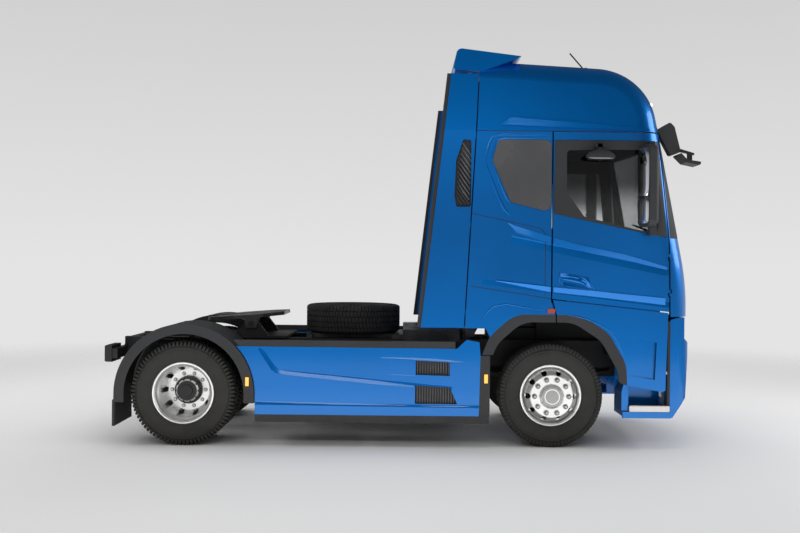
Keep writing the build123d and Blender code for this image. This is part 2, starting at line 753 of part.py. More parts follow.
# Steering knuckles and tie rod
spindle = rod(FRONT_X, AXLE_Z, SPINDLE_RADIUS - RUNNING_GAP, -1150, -960)
brake = rod(FRONT_X, AXLE_Z, 200, -985, -950)
yoke = less(
    box(FRONT_X - 70, FRONT_X + 70, -960, -KINGPIN_Y + 60, 390, 630),
    box(FRONT_X - 80, FRONT_X + 80, -935, -KINGPIN_Y + 80, 450, 570),
    post(FRONT_X, -KINGPIN_Y, KINGPIN_RADIUS, 300, 700),
)
yoke = joined(yoke, rod(FRONT_X, AXLE_Z, 70, -960, -935))
steer_arm = box(FRONT_X - STEER_ARM - 30, FRONT_X - 60, -KINGPIN_Y - 30, -KINGPIN_Y + 30, 392, 412)
ball = post(FRONT_X - STEER_ARM, -KINGPIN_Y, 14 - RUNNING_GAP, 395, 462)
knuckle_right = joined(yoke, spindle, brake, steer_arm)
knuckle_left = other_side(joined(knuckle_right, ball))
parts["knuckle_left"] = knuckle_left
parts["knuckle_right"] = joined(knuckle_right, post(FRONT_X - STEER_ARM, -KINGPIN_Y, 13, 395, 462))
tie_rod = joined(
    rod(FRONT_X - STEER_ARM, TIE_ROD_Z + 8, 16, -KINGPIN_Y, KINGPIN_Y),
    both_sides(post(FRONT_X - STEER_ARM, -KINGPIN_Y, 26, TIE_ROD_Z - 12, TIE_ROD_Z + 28)),
)
parts["tie_rod"] = less(
    tie_rod,
    post(FRONT_X - STEER_ARM, KINGPIN_Y, 14, 300, 500),
    post(FRONT_X - STEER_ARM, -KINGPIN_Y, 15, 300, 500),
)

# Tyre and rim sections, points (axial, radius)
HALF_TREAD = TYRE_WIDTH / 2
TYRE_HALF = [
    (112, SEAT_RADIUS + 0.5),
    (112, 306),
    (138, 330),
    (HALF_TREAD, 385),
    (HALF_TREAD - 2, 420),
    (HALF_TREAD - 10, 465),
    (HALF_TREAD - 20, 492),
    (HALF_TREAD - 38, 506),
    (90, TYRE_RADIUS),
    (66, TYRE_RADIUS),
    (64, 498),
    (56, 498),
    (54, TYRE_RADIUS),
    (26, TYRE_RADIUS),
    (24, 498),
    (16, 498),
    (14, TYRE_RADIUS),
]
TYRE_SECTION = TYRE_HALF + [(-axial, radius) for axial, radius in reversed(TYRE_HALF)]
RIM_OUTSIDE = [(-125, 300), (-112, 300), (-112, SEAT_RADIUS), (-62, 281), (-42, 262), (42, 262), (62, 281),
               (112, SEAT_RADIUS), (112, 300), (125, 300)]
RIM_INSIDE = [(125, 286), (112, 275), (66, 268), (48, 250), (-48, 250), (-66, 268), (-112, 275), (-125, 286)]
RIM_SECTION = RIM_OUTSIDE + RIM_INSIDE
DISC_SECTION = [(40, 256), (70, 266), (150, 246), (188, 216), (197, 205), (197, 0), (175, 0), (175, 200),
                (160, 222), (130, 236), (40, 250)]


def wheel_holes(x, z, y_low, y_high):
    """Ten hand holes through a wheel disc."""
    with BuildPart() as holes:
        with BuildSketch(Plane.XZ.offset(-y_high)):
            with Locations((x, z)):
                with PolarLocations(231, 10):
                    Circle(27)
        extrude(amount=y_high - y_low)
    return holes.part


def shifted(section, centre, flip=1):
    """Section moved to its place on the axle, turned about if flip is -1."""
    return [(centre + flip * axial, radius) for axial, radius in section]


for side, sign in (("left", 1), ("right", -1)):
    parts["tyre_front_" + side] = turned(shifted(TYRE_SECTION, FRONT_TRACK), FRONT_X, AXLE_Z, sign)
    rim = joined(
        turned(shifted(RIM_SECTION, FRONT_TRACK), FRONT_X, AXLE_Z, sign),
        turned(shifted(DISC_SECTION, FRONT_TRACK), FRONT_X, AXLE_Z, sign),
        turned(HUB_PROFILE, FRONT_X, AXLE_Z, sign),
    )
    holes = wheel_holes(FRONT_X, AXLE_Z, min(sign * 1100, sign * 1300), max(sign * 1100, sign * 1300))
    socket_low, socket_high = sorted((sign * 1000, sign * 1156))
    socket = rod(FRONT_X, AXLE_Z, SPINDLE_RADIUS, socket_low, socket_high)
    parts["rim_front_" + side] = less(rim, holes, socket)
    parts["tyres_rear_" + side] = joined(
        turned(shifted(TYRE_SECTION, REAR_OUTER), REAR_X, AXLE_Z, sign),
        turned(shifted(TYRE_SECTION, REAR_INNER), REAR_X, AXLE_Z, sign),
    )
    twin = joined(
        turned(shifted(RIM_SECTION, REAR_OUTER), REAR_X, AXLE_Z, sign),
        turned(shifted(DISC_SECTION, REAR_OUTER, -1), REAR_X, AXLE_Z, sign),
        turned(shifted(RIM_SECTION, REAR_INNER), REAR_X, AXLE_Z, sign),
        turned(shifted(DISC_SECTION, REAR_INNER), REAR_X, AXLE_Z, sign),
        turned([(700, 0), (700, 135), (960, 135), (1010, 120), (1030, 95), (1030, 0)], REAR_X, AXLE_Z, sign),
    )
    holes = wheel_holes(REAR_X, AXLE_Z, min(sign * 740, sign * 1080), max(sign * 740, sign * 1080))
    socket = rod(REAR_X, AXLE_Z, SPINDLE_RADIUS, min(sign * 650, sign * 900), max(sign * 650, sign * 900))
    parts["rims_rear_" + side] = less(twin, holes, socket)

# Rear axle with air springs
axle_tube = rod(REAR_X, AXLE_Z, 75, -690, 690)
spindles = rod(REAR_X, AXLE_Z, SPINDLE_RADIUS - RUNNING_GAP, -890, 890)
differential = joined(rod(REAR_X, AXLE_Z, 215, -110, 110), box(REAR_X, REAR_X + 330, -90, 90, 450, 620))
brake_drums = rod(REAR_X, AXLE_Z, 195, -690, -640)
bellows = [post(REAR_X + dx, -500, 70, 470, RAIL_TOP - 60) for dx in (-330, 330)]
bellow_hanger = [
    box(REAR_X + dx - 70, REAR_X + dx + 70, -560, -425, RAIL_TOP - 60, RAIL_TOP - 20) for dx in (-330, 330)
]
trailing = box(REAR_X - 400, REAR_X + 400, -545, -455, 430, 475)
parts["rear_axle"] = joined(
    axle_tube, spindles, differential, both_sides(brake_drums, trailing, *bellows, *bellow_hanger)
)

# Engine, gearbox and radiator
engine = joined(
    box(1480, 2440, -344.7, 344.7, 620, 1180),
    box(700, 1480, -250, 250, 640, 1000),
)
parts["engine"] = engine
parts["radiator"] = box(2480, 2580, -344.7, 344.7, 620, 1180)

# Tanks behind the side skirts
tank = joined(
    box(-1250, 420, 470, 1180, 350, 900),
    box(-1100, -1000, RAIL_OUTER, 480, 760, 900),
    box(200, 300, RAIL_OUTER, 480, 760, 900),
)
parts["fuel_tank"] = tank
silencer = joined(
    box(-200, 520, -1160, -560, 380, 900), box(-1150, -300, -1160, -520, 400, 880),
    box(-320, -180, -900, -700, 500, 700),
    box(300, 400, -570, -RAIL_OUTER, 760, 880), box(-1000, -900, -530, -RAIL_OUTER, 760, 880),
)
parts["silencer"] = silencer

# Side skirts and their dark trims
SKIRT_REAR = FENDER_X + FENDER_RADIUS + 8
SKIRT = [(SKIRT_REAR, 313), (SKIRT_REAR, FENDER_Z), (-1640, FENDER_Z), (-1640, 975), (582, 968), (678, 1057),
         (800, 1035), (812, 902), (800, 313)]
skirt = side_prism(SKIRT, -SKIRT_Y, -SKIRT_Y + 30)
SKIRT_LINES = [
    {"start": (-1330, 962), "end": (-1190, 752), "width": 30, "depth": 8},
    {"start": (-1196, 752), "end": (540, 598), "width": 34, "depth": 8},
    {"start": (-1400, 432), "end": (800, 418), "width": 26, "depth": 6},
]
skirt_cuts = [crease(row["start"], row["end"], -SKIRT_Y, row["width"], row["depth"]) for row in SKIRT_LINES]
skirt = less(skirt, rod(FENDER_X, FENDER_Z, FENDER_RADIUS + 8, -1400, 0), *skirt_cuts)
VENTS = [
    [(182, 852), (514, 835), (514, 703), (182, 712)],
    [(177, 610), (515, 590), (589, 429), (177, 429)],
]
skirt_vents = [side_prism(vent, -1400, 0) for vent in VENTS]
brackets = [box(x - 30, x + 30, -SKIRT_Y + 30, -RAIL_OUTER, 780, 820) for x in (-1330, 700)]
parts["side_skirts"] = both_sides(less(skirt, *skirt_vents), *brackets)
lower_strip = box(SKIRT_REAR, 900, -SKIRT_Y - 2, -SKIRT_Y + 24, 240, 312.7)
upper_strip = side_prism(
    [(-1540, 975.3), (-1600, 1036), (566, 1036), (566, 969.3)], -SKIRT_Y + 2, -SKIRT_Y + 60
)
arch_post = side_prism([(800.3, 313), (812.3, 902), (905, 905), (905, 313)], -SKIRT_Y, -SKIRT_Y + 24)
corner_strip = side_prism(
    [(2641, 330), (2641, 1245), (BUMPER_REAR - 0.3, 1258), (BUMPER_REAR - 0.3, 330)],
    -BUMPER_HALF,
    -BUMPER_HALF + 110,
)
parts["skirt_trims"] = both_sides(lower_strip, upper_strip, arch_post, corner_strip)

# Deck behind the cab, spare wheel on its carrier
deck = joined(
    box(60, 640, -700, 700, RAIL_TOP, RAIL_TOP + 110),
    box(-960, 0, -300, 300, RAIL_TOP, 1045),
    box(-960, -900, -425, 425, RAIL_TOP, 1045),
    box(-60, 60, -425, 425, RAIL_TOP, 1045),
)
parts["deck"] = deck
SPARE_X = -488
SPARE_Z = 1045 + TYRE_WIDTH / 2
with BuildPart() as spare_tyre:
    with BuildSketch(Plane.XZ):
        with BuildLine():
            Polyline(*[(SPARE_X + radius, SPARE_Z + axial) for axial, radius in TYRE_SECTION], close=True)
        make_face()
    revolve(axis=Axis((SPARE_X, 0, 0), (0, 0, 1)), revolution_arc=360)
parts["spare_tyre"] = spare_tyre.part
with BuildPart() as spare_rim:
    with BuildSketch(Plane.XZ):
        with BuildLine():
            Polyline(*[(SPARE_X + radius, SPARE_Z + axial) for axial, radius in RIM_SECTION], close=True)
        make_face()
    revolve(axis=Axis((SPARE_X, 0, 0), (0, 0, 1)), revolution_arc=360)
    with BuildSketch(Plane.XY.offset(SPARE_Z - 155)):
        with Locations((SPARE_X, 0)):
            Circle(256)
            with PolarLocations(167, 10):
                Circle(13, mode=Mode.SUBTRACT)
            with Locations((0, 0)):
                Circle(120, mode=Mode.SUBTRACT)
    extrude(amount=160)
parts["spare_rim"] = spare_rim.part

# Fifth wheel base and rocking plate
base = joined(
    box(COUPLING_X - 380, COUPLING_X + 380, -480, 480, RAIL_TOP, RAIL_TOP + 24),
)
for y in (-430, 430):
    cheek = side_prism(
        [(COUPLING_X - 200, RAIL_TOP), (COUPLING_X + 200, RAIL_TOP), (COUPLING_X + 60, COUPLING_Z + 30),
         (COUPLING_X + 40, COUPLING_Z + 45), (COUPLING_X - 40, COUPLING_Z + 45), (COUPLING_X - 60, COUPLING_Z + 30)],
        y - 22,
        y + 22,
    )
    base = joined(base, cheek, rod(COUPLING_X, COUPLING_Z, COUPLING_PIN - RUNNING_GAP, y - 60, y + 60))
parts["fifth_wheel_base"] = base
tilt = radians(COUPLING_TILT)
plate_plane = Plane(
    origin=(COUPLING_X, 0, COUPLING_Z), x_dir=(cos(tilt), 0, sin(tilt)), z_dir=(-sin(tilt), 0, cos(tilt))
)
with BuildPart() as plate:
    with BuildSketch(plate_plane.offset(PLATE_TOP - 35)):
        with BuildLine():
            FilletPolyline((330, 0), (330, 300), (120, 475), (-200, 475), (-480, 330), (-480, 0), radius=60)
            Line((-480, 0), (330, 0))
        make_face()
        mirror(about=Plane.XZ)
        with BuildLine():
            Polyline((20, 14), (-200, 60), (-500, 190), (-500, -190), (-200, -60), (20, -14), close=True)
        make_face(mode=Mode.SUBTRACT)
        with Locations((20, 0)):
            Circle(KINGPIN_BORE, mode=Mode.SUBTRACT)
    extrude(amount=35)
lugs = []
for y in (-430, 430):
    for gap in (-46, 46):
        lug_y = y + gap
        lug = side_prism(
            [(COUPLING_X - 55, COUPLING_Z - 45), (COUPLING_X + 55, COUPLING_Z - 45),
             (COUPLING_X + 75, COUPLING_Z + PLATE_TOP - 26), (COUPLING_X - 75, COUPLING_Z + PLATE_TOP - 36)],
            lug_y - 12,
            lug_y + 12,
        )
        lugs.append(less(lug, rod(COUPLING_X, COUPLING_Z, COUPLING_PIN, lug_y - 30, lug_y + 30)))
parts["fifth_wheel_plate"] = joined(plate.part, *lugs)

# Rear fenders with mud flaps
def fender_sheet(thickness, y_low, y_high):
    """Half-round sheet over a rear wheel pair with straight legs."""
    with BuildPart() as sheet:
        with BuildSketch(Plane.XZ.offset(-y_high)):
            with Locations((FENDER_X, FENDER_Z)):
                Circle(FENDER_RADIUS)
                Circle(FENDER_RADIUS - thickness, mode=Mode.SUBTRACT)
            with Locations((FENDER_X, FENDER_Z - 500)):
                Rectangle(2000, 1000, mode=Mode.SUBTRACT)
            for side in (-1, 1):
                leg_x = FENDER_X + side * (FENDER_RADIUS - thickness / 2)
                with Locations((leg_x, (FENDER_Z + FENDER_LEG) / 2)):
                    Rectangle(thickness, FENDER_Z - FENDER_LEG)
        extrude(amount=y_high - y_low)
    return sheet.part


crown = fender_sheet(8, -1245, -600)
lip = fender_sheet(98, -1250, -1238)
flap_sheet = box(FENDER_X - FENDER_RADIUS - 18, FENDER_X - FENDER_RADIUS + 6, -1230, -620, 185, 440)
fender_arms = [box(-2200, -2150, -610, -390, 1100, 1130), box(-2200, -2150, -425, -390, RAIL_TOP, 1130)]
fender_tie = box(-2200, -2150, -640, -600, 1100, 1180)
parts["rear_fenders"] = both_sides(crown, lip, flap_sheet, *fender_arms, fender_tie)
parts["tail_lamps"] = both_sides(box(REAR_END, REAR_END + 12, -780, -475, 775, 925))

# Bumper with lamps
lip_radius = PLAN_RADIUS + 18
BUMPER_WALL = 72


def bumper_prism(inset, rear, z_low, z_high):
    """Bumper plan form taken in at the front by inset, back to the rear station, between two heights."""
    radius = lip_radius - inset
    half = BUMPER_HALF - min(inset, BUMPER_WALL)
    corner = PLAN_CENTRE + sqrt(radius**2 - half**2)
    with BuildPart() as solid:
        with BuildSketch(Plane.XY.offset(z_low)) as plan:
            with BuildLine():
                front = ThreePointArc((corner, -half), (PLAN_CENTRE + radius, 0), (corner, half))
                Polyline(front @ 1, (rear, half), (rear, -half), front @ 0)
            make_face()
            fillet(plan.vertices().sort_by(Axis.X)[-2:], radius=max(140 - inset, 60))
        extrude(amount=z_high - z_low)
    return solid.part


with BuildPart() as bumper_turn:
    slope = radians(24)
    turn_plane = Plane(
        origin=(PLAN_CENTRE, 0, 0),
        x_dir=(cos(slope), -sin(slope), 0),
        z_dir=(-sin(slope), -cos(slope), 0),
    )
    with BuildSketch(turn_plane):
        with BuildLine():
            Polyline(
                (lip_radius - 600, BUMPER_LOW), (lip_radius - 150, BUMPER_LOW), (lip_radius - 26, 505),
                (lip_radius, BUMPER_LIP - 40), (lip_radius, BUMPER_LIP), (lip_radius - 40, BUMPER_LIP + 45),
                (lip_radius - 40, 1400), (lip_radius - 600, 1400), close=True,
            )
        make_face()
    revolve(axis=Axis((PLAN_CENTRE, 0, 0), (0, 0, 1)), revolution_arc=48)
bumper_form = common(bumper_turn.part, bumper_prism(0, BUMPER_REAR, 0, 1500))
under_sweep = joined(
    rod(TILT_X, TILT_Z, BUMPER_SWEEP, -1300, 1300), box(2300, 3300, -1300, 1300, 0, TILT_Z)
)
bumper_block = common(bumper_form, under_sweep)
bumper_hollow = joined(
    bumper_prism(190, 2500, BUMPER_LOW + 40, 540), bumper_prism(BUMPER_WALL, 2500, 530, 1500)
)
LAMP = {"y_low": 720, "y_high": 1060, "z_low": 590, "z_high": 800}
lamp_void = box(2700, 3300, -LAMP["y_high"], -LAMP["y_low"], LAMP["z_low"], LAMP["z_high"])
bumper = less(bumper_block, bumper_hollow, both_sides(lamp_void), box(2700, 3300, -600, 600, 430, 700))
bumper_arms = [box(FRAME_FRONT, 2890, y - 30, y + 30, 710, 770) for y in (-385, 385)]
parts["bumper"] = joined(bumper, *bumper_arms)
lamp = common(
    bumper_form,
    box(2790, 3300, -LAMP["y_high"] + 0.3, -LAMP["y_low"] - 0.3, LAMP["z_low"] + 0.3, LAMP["z_high"] - 0.3),
)
parts["headlamps"] = both_sides(lamp)

# Entry steps ahead of the front wheels
STEP_FRONT = 2640
STEP_REAR = 2195
STEP_TOP = 372
sill = box(STEP_REAR, BUMPER_REAR - 0.3, -1246, -1222, 312, STEP_TOP)
step_floor = box(STEP_REAR, STEP_FRONT, -1225, -890, 330, STEP_TOP - 23.3)
rear_fin = side_prism(
    [(STEP_REAR, 345), (STEP_REAR, 560), (STEP_REAR + 20, 640), (STEP_REAR + 48, 640), (STEP_REAR + 66, 560),
     (STEP_REAR + 66, 345)],
    -1203, -890,
)
well_back = side_prism(
    [(STEP_REAR, 330), (STEP_REAR, 1080), (STEP_REAR + 50, 1200), (STEP_FRONT, 1200), (STEP_FRONT, 330)],
    -900,
    -880,
)
step_hanger = box(2350, 2560, -890, -RAIL_OUTER, 330, 346)
step_link = box(2400, 2500, -RAIL_OUTER - 30, -RAIL_OUTER, 330, 780)
parts["steps"] = both_sides(joined(sill, step_floor, rear_fin, well_back, step_hanger, step_link))
treads = [
    box(STEP_REAR + 70, STEP_FRONT, -1221, -901, STEP_TOP - 23, STEP_TOP + 18),
    box(STEP_REAR + 70, STEP_FRONT, -1195, -900.3, 735, 760),
]
parts["step_treads"] = both_sides(*treads)

# Amber side lamps
parts["side_lamps"] = both_sides(
    box(850, 884, -SKIRT_Y - 12, -SKIRT_Y, 637, 721), box(-1472, -1440, -1262, -1250, 590, 674)
)
parts["arch_lamps"] = both_sides(box(1456, 1530, -HALF_WIDTH - 9, -HALF_WIDTH, 1326, 1366))

os.makedirs("parts", exist_ok=True)
for name, solid in parts.items():
    solid.label = name
    export_step(solid, f"parts/{name}.step")
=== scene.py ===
"""Dresses a two-axle tractor unit: paint, glass, tyres, alloy wheels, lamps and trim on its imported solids."""

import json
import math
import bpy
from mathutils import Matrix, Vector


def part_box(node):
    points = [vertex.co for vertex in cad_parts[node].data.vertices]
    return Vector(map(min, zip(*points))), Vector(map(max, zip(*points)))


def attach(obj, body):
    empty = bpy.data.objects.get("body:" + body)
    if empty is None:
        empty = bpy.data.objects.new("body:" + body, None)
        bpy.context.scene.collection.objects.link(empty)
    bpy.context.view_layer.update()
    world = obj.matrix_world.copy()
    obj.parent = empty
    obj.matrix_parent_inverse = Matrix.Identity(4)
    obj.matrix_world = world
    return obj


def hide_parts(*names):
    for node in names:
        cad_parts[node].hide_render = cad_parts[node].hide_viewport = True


bl_info = {
    "name": "Tractor unit dressing",
    "version": (1, 0, 0),
    "blender": (4, 5, 0),
    "location": "3D View > Sidebar > Tractor",
    "description": "Finishes and fine pieces for a high-roof road tractor",
    "category": "Object",
}

import bmesh
import bpy
from mathutils import Matrix, Vector

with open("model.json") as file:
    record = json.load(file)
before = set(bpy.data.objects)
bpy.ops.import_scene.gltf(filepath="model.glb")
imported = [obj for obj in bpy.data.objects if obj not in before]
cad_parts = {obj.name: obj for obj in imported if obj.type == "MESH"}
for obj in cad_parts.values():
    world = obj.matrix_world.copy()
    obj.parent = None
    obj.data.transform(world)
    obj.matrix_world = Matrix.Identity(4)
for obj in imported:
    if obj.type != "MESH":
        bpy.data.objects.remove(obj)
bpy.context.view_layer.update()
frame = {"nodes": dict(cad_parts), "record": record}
NODES = frame["nodes"]


def node_centre(name):
    """Middle of a node's box."""
    low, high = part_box(name)
    return (Vector(low) + Vector(high)) / 2


AXLE_Z = node_centre("tyre_front_right").z
REAR_AXLE_X = node_centre("tyres_rear_right").x
CAB_MIDDLE = (1.6, 0.0, 2.3)
CAB_SIDE = 1.25
SKIRT_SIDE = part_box("side_skirts")[1][1]
DECK_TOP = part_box("deck")[1][2]
SIDES = (-1, 1)
# How far a piece is sunk into the face it sits on
BEDDED = 0.001
DOORS = ((-1, "right_door"), (1, "left_door"))


class TractorSizes(bpy.types.PropertyGroup):
    """Sizes a user would change."""

    tyre_radius: bpy.props.FloatProperty(
        name="Tyre radius", description="Outside radius of each tyre", default=AXLE_Z, unit="LENGTH"
    )
    nut_count: bpy.props.IntProperty(name="Wheel nuts", description="Nuts on each wheel disc", default=10)
    nut_circle: bpy.props.FloatProperty(
        name="Nut circle", description="Radius of the wheel nut circle", default=0.1675, unit="LENGTH"
    )
    camera_distance: bpy.props.FloatProperty(
        name="Camera distance", description="Camera to the middle plane", default=10.6, unit="LENGTH"
    )
    camera_height: bpy.props.FloatProperty(
        name="Camera height", description="Camera above the floor", default=1.765, unit="LENGTH"
    )
    camera_side: bpy.props.FloatProperty(
        name="Camera side", description="Camera ahead of the middle", default=0.0195, unit="LENGTH"
    )
    camera_roll: bpy.props.FloatProperty(
        name="Camera roll", description="Camera turn about its view line", default=0.0096, subtype="ANGLE"
    )
    lens: bpy.props.FloatProperty(name="Lens", description="Focal length in millimetres", default=43.3)


class TractorColours(bpy.types.PropertyGroup):
    """Colours a user would change."""

    paint: bpy.props.FloatVectorProperty(
        name="Paint", description="Body colour", subtype="COLOR", size=3, default=(0.0, 0.15, 0.51)
    )
    trim: bpy.props.FloatVectorProperty(
        name="Trim", description="Grained plastic", subtype="COLOR", size=3, default=(0.032, 0.033, 0.035)
    )
    tyre: bpy.props.FloatVectorProperty(
        name="Tyre", description="Tyre rubber", subtype="COLOR", size=3, default=(0.027, 0.027, 0.026)
    )
    floor: bpy.props.FloatVectorProperty(
        name="Floor", description="Studio floor", subtype="COLOR", size=3, default=(0.97, 0.97, 0.97)
    )


def sizes():
    """The size settings."""
    return bpy.context.scene.tractor_sizes


def colours():
    """The colour settings."""
    return bpy.context.scene.tractor_colours


# Node helpers, for shaders and for Geometry Nodes
def feed(tree, node, feeds):
    """Gives each named socket of a node its value, or the socket it is linked to."""
    for name, source in feeds.items():
        if isinstance(source, bpy.types.NodeSocket):
            tree.links.new(source, node.inputs[name])
        else:
            node.inputs[name].default_value = source
    return node


def add_node(tree, kind, feeds=None, **settings):
    """Adds a node with its settings and what goes into its sockets."""
    node = tree.nodes.new(kind)
    for name, value in settings.items():
        setattr(node, name, value)
    return feed(tree, node, feeds or {})


def map_range(tree, value, start, end, low=0.0, high=1.0, smooth=False):
    """A value mapped from start and end to low and high."""
    feeds = {"Value": value, "From Min": start, "From Max": end, "To Min": low, "To Max": high}
    bend = "SMOOTHSTEP" if smooth else "LINEAR"
    return add_node(tree, "ShaderNodeMapRange", feeds, interpolation_type=bend).outputs["Result"]


def maths(tree, operation, one, two):
    """Two values put together."""
    return add_node(tree, "ShaderNodeMath", {0: one, 1: two}, operation=operation).outputs[0]


def vector_maths(tree, operation, feeds):
    """Outputs of one vector step."""
    return add_node(tree, "ShaderNodeVectorMath", feeds, operation=operation).outputs


def scaled(tree, colour, level):
    """A colour made darker or brighter by a level."""
    return vector_maths(tree, "SCALE", {0: colour, "Scale": level})["Vector"]


def mix_colour(tree, mask, one, two):
    """Colour one, covered by colour two where the mask is full."""
    feeds = {"Factor": mask, "A": one, "B": two}
    return add_node(tree, "ShaderNodeMix", feeds, data_type="RGBA").outputs["Result"]


def mix_shader(tree, mask, one, two):
    """Shader one, covered by shader two where the mask is full."""
    return add_node(tree, "ShaderNodeMixShader", {"Fac": mask, 1: one, 2: two}).outputs[0]


def object_place(tree):
    """The Object coordinates, whole and split."""
    place = add_node(tree, "ShaderNodeTexCoord").outputs["Object"]
    return place, add_node(tree, "ShaderNodeSeparateXYZ", {0: place}).outputs


def add_socket(tree, name, kind="Float", way="INPUT", default=None, high=1000.0):
    """Adds a named socket to a node group, with a default and a highest value for a number."""
    socket = tree.interface.new_socket(name=name, in_out=way, socket_type="NodeSocket" + kind)
    if default is not None:
        socket.default_value, socket.min_value, socket.max_value = default, 0.0, high


def shared_group(name, kind, fill, *details):
    """The node group of a name, filled at its first use."""
    group = bpy.data.node_groups.get(name)
    if group is None:
        group = bpy.data.node_groups.new(name, kind)
        fill(group, *details)
    return group


# Shader groups shared by the finishes
def surface_nodes(group):
    """Grain height and blotch mask from Object coordinates, with fine and broad noise."""
    add_socket(group, "Grain scale", default=400.0)
    add_socket(group, "Blotch scale", default=3.0)
    add_socket(group, "Height", way="OUTPUT")
    add_socket(group, "Blotch", way="OUTPUT")
    entry = add_node(group, "NodeGroupInput").outputs
    place = add_node(group, "ShaderNodeTexCoord").outputs["Object"]
    leave = {}
    for out, scale, detail in (("Height", "Grain scale", 2.0), ("Blotch", "Blotch scale", 4.0)):
        feeds = {"Vector": place, "Scale": entry[scale], "Detail": detail}
        leave[out] = add_node(group, "ShaderNodeTexNoise", feeds, label=out).outputs["Fac"]
    add_node(group, "NodeGroupOutput", leave)


def dust_nodes(group):
    """Road dust mask that is strongest near the ground and broken up by noise."""
    add_socket(group, "Top", default=0.9, high=5.0)
    add_socket(group, "Amount", default=0.3, high=1.0)
    add_socket(group, "Mask", way="OUTPUT")
    entry = add_node(group, "NodeGroupInput").outputs
    place, split = object_place(group)
    fall = map_range(group, split["Z"], 0.0, entry["Top"], 1.0, 0.0)
    noise = add_node(group, "ShaderNodeTexNoise", {"Vector": place, "Scale": 7.0, "Detail": 5.0})
    broken = maths(group, "MULTIPLY", fall, noise.outputs["Fac"])
    add_node(group, "NodeGroupOutput", {"Mask": maths(group, "MULTIPLY", broken, entry["Amount"])})


def lining_nodes(group):
    """Mask of the faces that look inwards in the hollow cab, from Object place and normal."""
    add_socket(group, "Middle", "Vector")
    add_socket(group, "Mask", way="OUTPUT")
    entry = add_node(group, "NodeGroupInput").outputs
    place = add_node(group, "ShaderNodeTexCoord").outputs
    arm = vector_maths(group, "SUBTRACT", {0: place["Object"], 1: entry["Middle"]})["Vector"]
    facing = vector_maths(group, "DOT_PRODUCT", {0: arm, 1: place["Normal"]})["Value"]
    add_node(group, "NodeGroupOutput", {"Mask": map_range(group, facing, -0.4, -0.5)})


def add_group(tree, name, fill, feeds):
    """Places a shader group in a tree."""
    group = shared_group(name, "ShaderNodeTree", fill)
    return add_node(tree, "ShaderNodeGroup", feeds, node_tree=group).outputs


FINISHES = {}
BLOTCH_SPAN = (0.3, 0.7)
BUMP_DEPTH = 0.001
DUST = (0.30, 0.27, 0.23, 1.0)
LINING = (0.03, 0.03, 0.032, 1.0)


def finish(name, colour, rough=0.5, metal=0.0, grain=400.0, bump=0.05, blotch=3.0, vary=0.15, dust=0.0,
           coat=0.0, coat_rough=0.03, specular=0.5, rough_vary=0.1, glow=0.0, lined=False, glass=False,
           shade=None):
    """A procedural finish: blotched colour and grain bump, with optional dust, coat, glow, lining and glass.

    Shade is painted shade: it darkens glass towards its top. Its values are the two heights and the share of
    light left at the upper one.
    """
    if name in FINISHES:
        return FINISHES[name]
    material = bpy.data.materials.new(name)
    material.use_nodes = True
    tree = material.node_tree
    feeds = {"Metallic": metal, "Roughness": rough, "Specular IOR Level": specular, "Coat Weight": coat,
             "Coat Roughness": coat_rough}
    surface = add_group(tree, "Surface grain", surface_nodes, {"Grain scale": grain, "Blotch scale": blotch})
    base = scaled(tree, colour, map_range(tree, surface["Blotch"], *BLOTCH_SPAN, 1.0 - vary, 1.0 + vary))
    if dust:
        film = add_group(tree, "Road dust", dust_nodes, {"Amount": dust})["Mask"]
        base = mix_colour(tree, film, base, DUST)
    if lined:
        inside = add_group(tree, "Inner lining", lining_nodes, {"Middle": CAB_MIDDLE})["Mask"]
        base = mix_colour(tree, inside, base, LINING)
        for socket in ("Metallic", "Coat Weight"):
            feeds[socket] = map_range(tree, inside, 0.0, 1.0, feeds[socket], 0.0)
    if glow:
        feeds.update({"Emission Color": (*colour, 1.0), "Emission Strength": glow})
    if rough_vary:
        low, high = max(0.0, rough - rough_vary), min(1.0, rough + rough_vary)
        feeds["Roughness"] = map_range(tree, surface["Blotch"], *BLOTCH_SPAN, low, high)
    if bump:
        relief = {"Strength": bump, "Distance": BUMP_DEPTH, "Height": surface["Height"]}
        feeds["Normal"] = add_node(tree, "ShaderNodeBump", relief).outputs["Normal"]
    if glass:
        feeds.update({"Transmission Weight": 1.0, "IOR": 1.45})
    # Painted shade: the glass colour is scaled darker towards its top, standing in for the shade that falls
    # there
    if shade:
        low, high, left = shade
        height = object_place(tree)[1]["Z"]
        base = scaled(tree, base, map_range(tree, height, low, high, 1.0, left, smooth=True))
    feeds["Base Color"] = base
    feed(tree, tree.nodes["Principled BSDF"], feeds)
    FINISHES[name] = material
    return material


PAINT = dict(rough=0.36, metal=0.72, grain=900.0, bump=0.02, blotch=0.8, vary=0.05, coat=0.55,
             coat_rough=0.09, rough_vary=0.03, specular=0.1)
GLASS = dict(rough=0.02, bump=0.0, vary=0.05, rough_vary=0.0, glass=True)
LENS = dict(rough=0.15, bump=0.0, coat=0.6)
MIRROR = dict(metal=1.0, bump=0.0, vary=0.02, rough_vary=0.0)
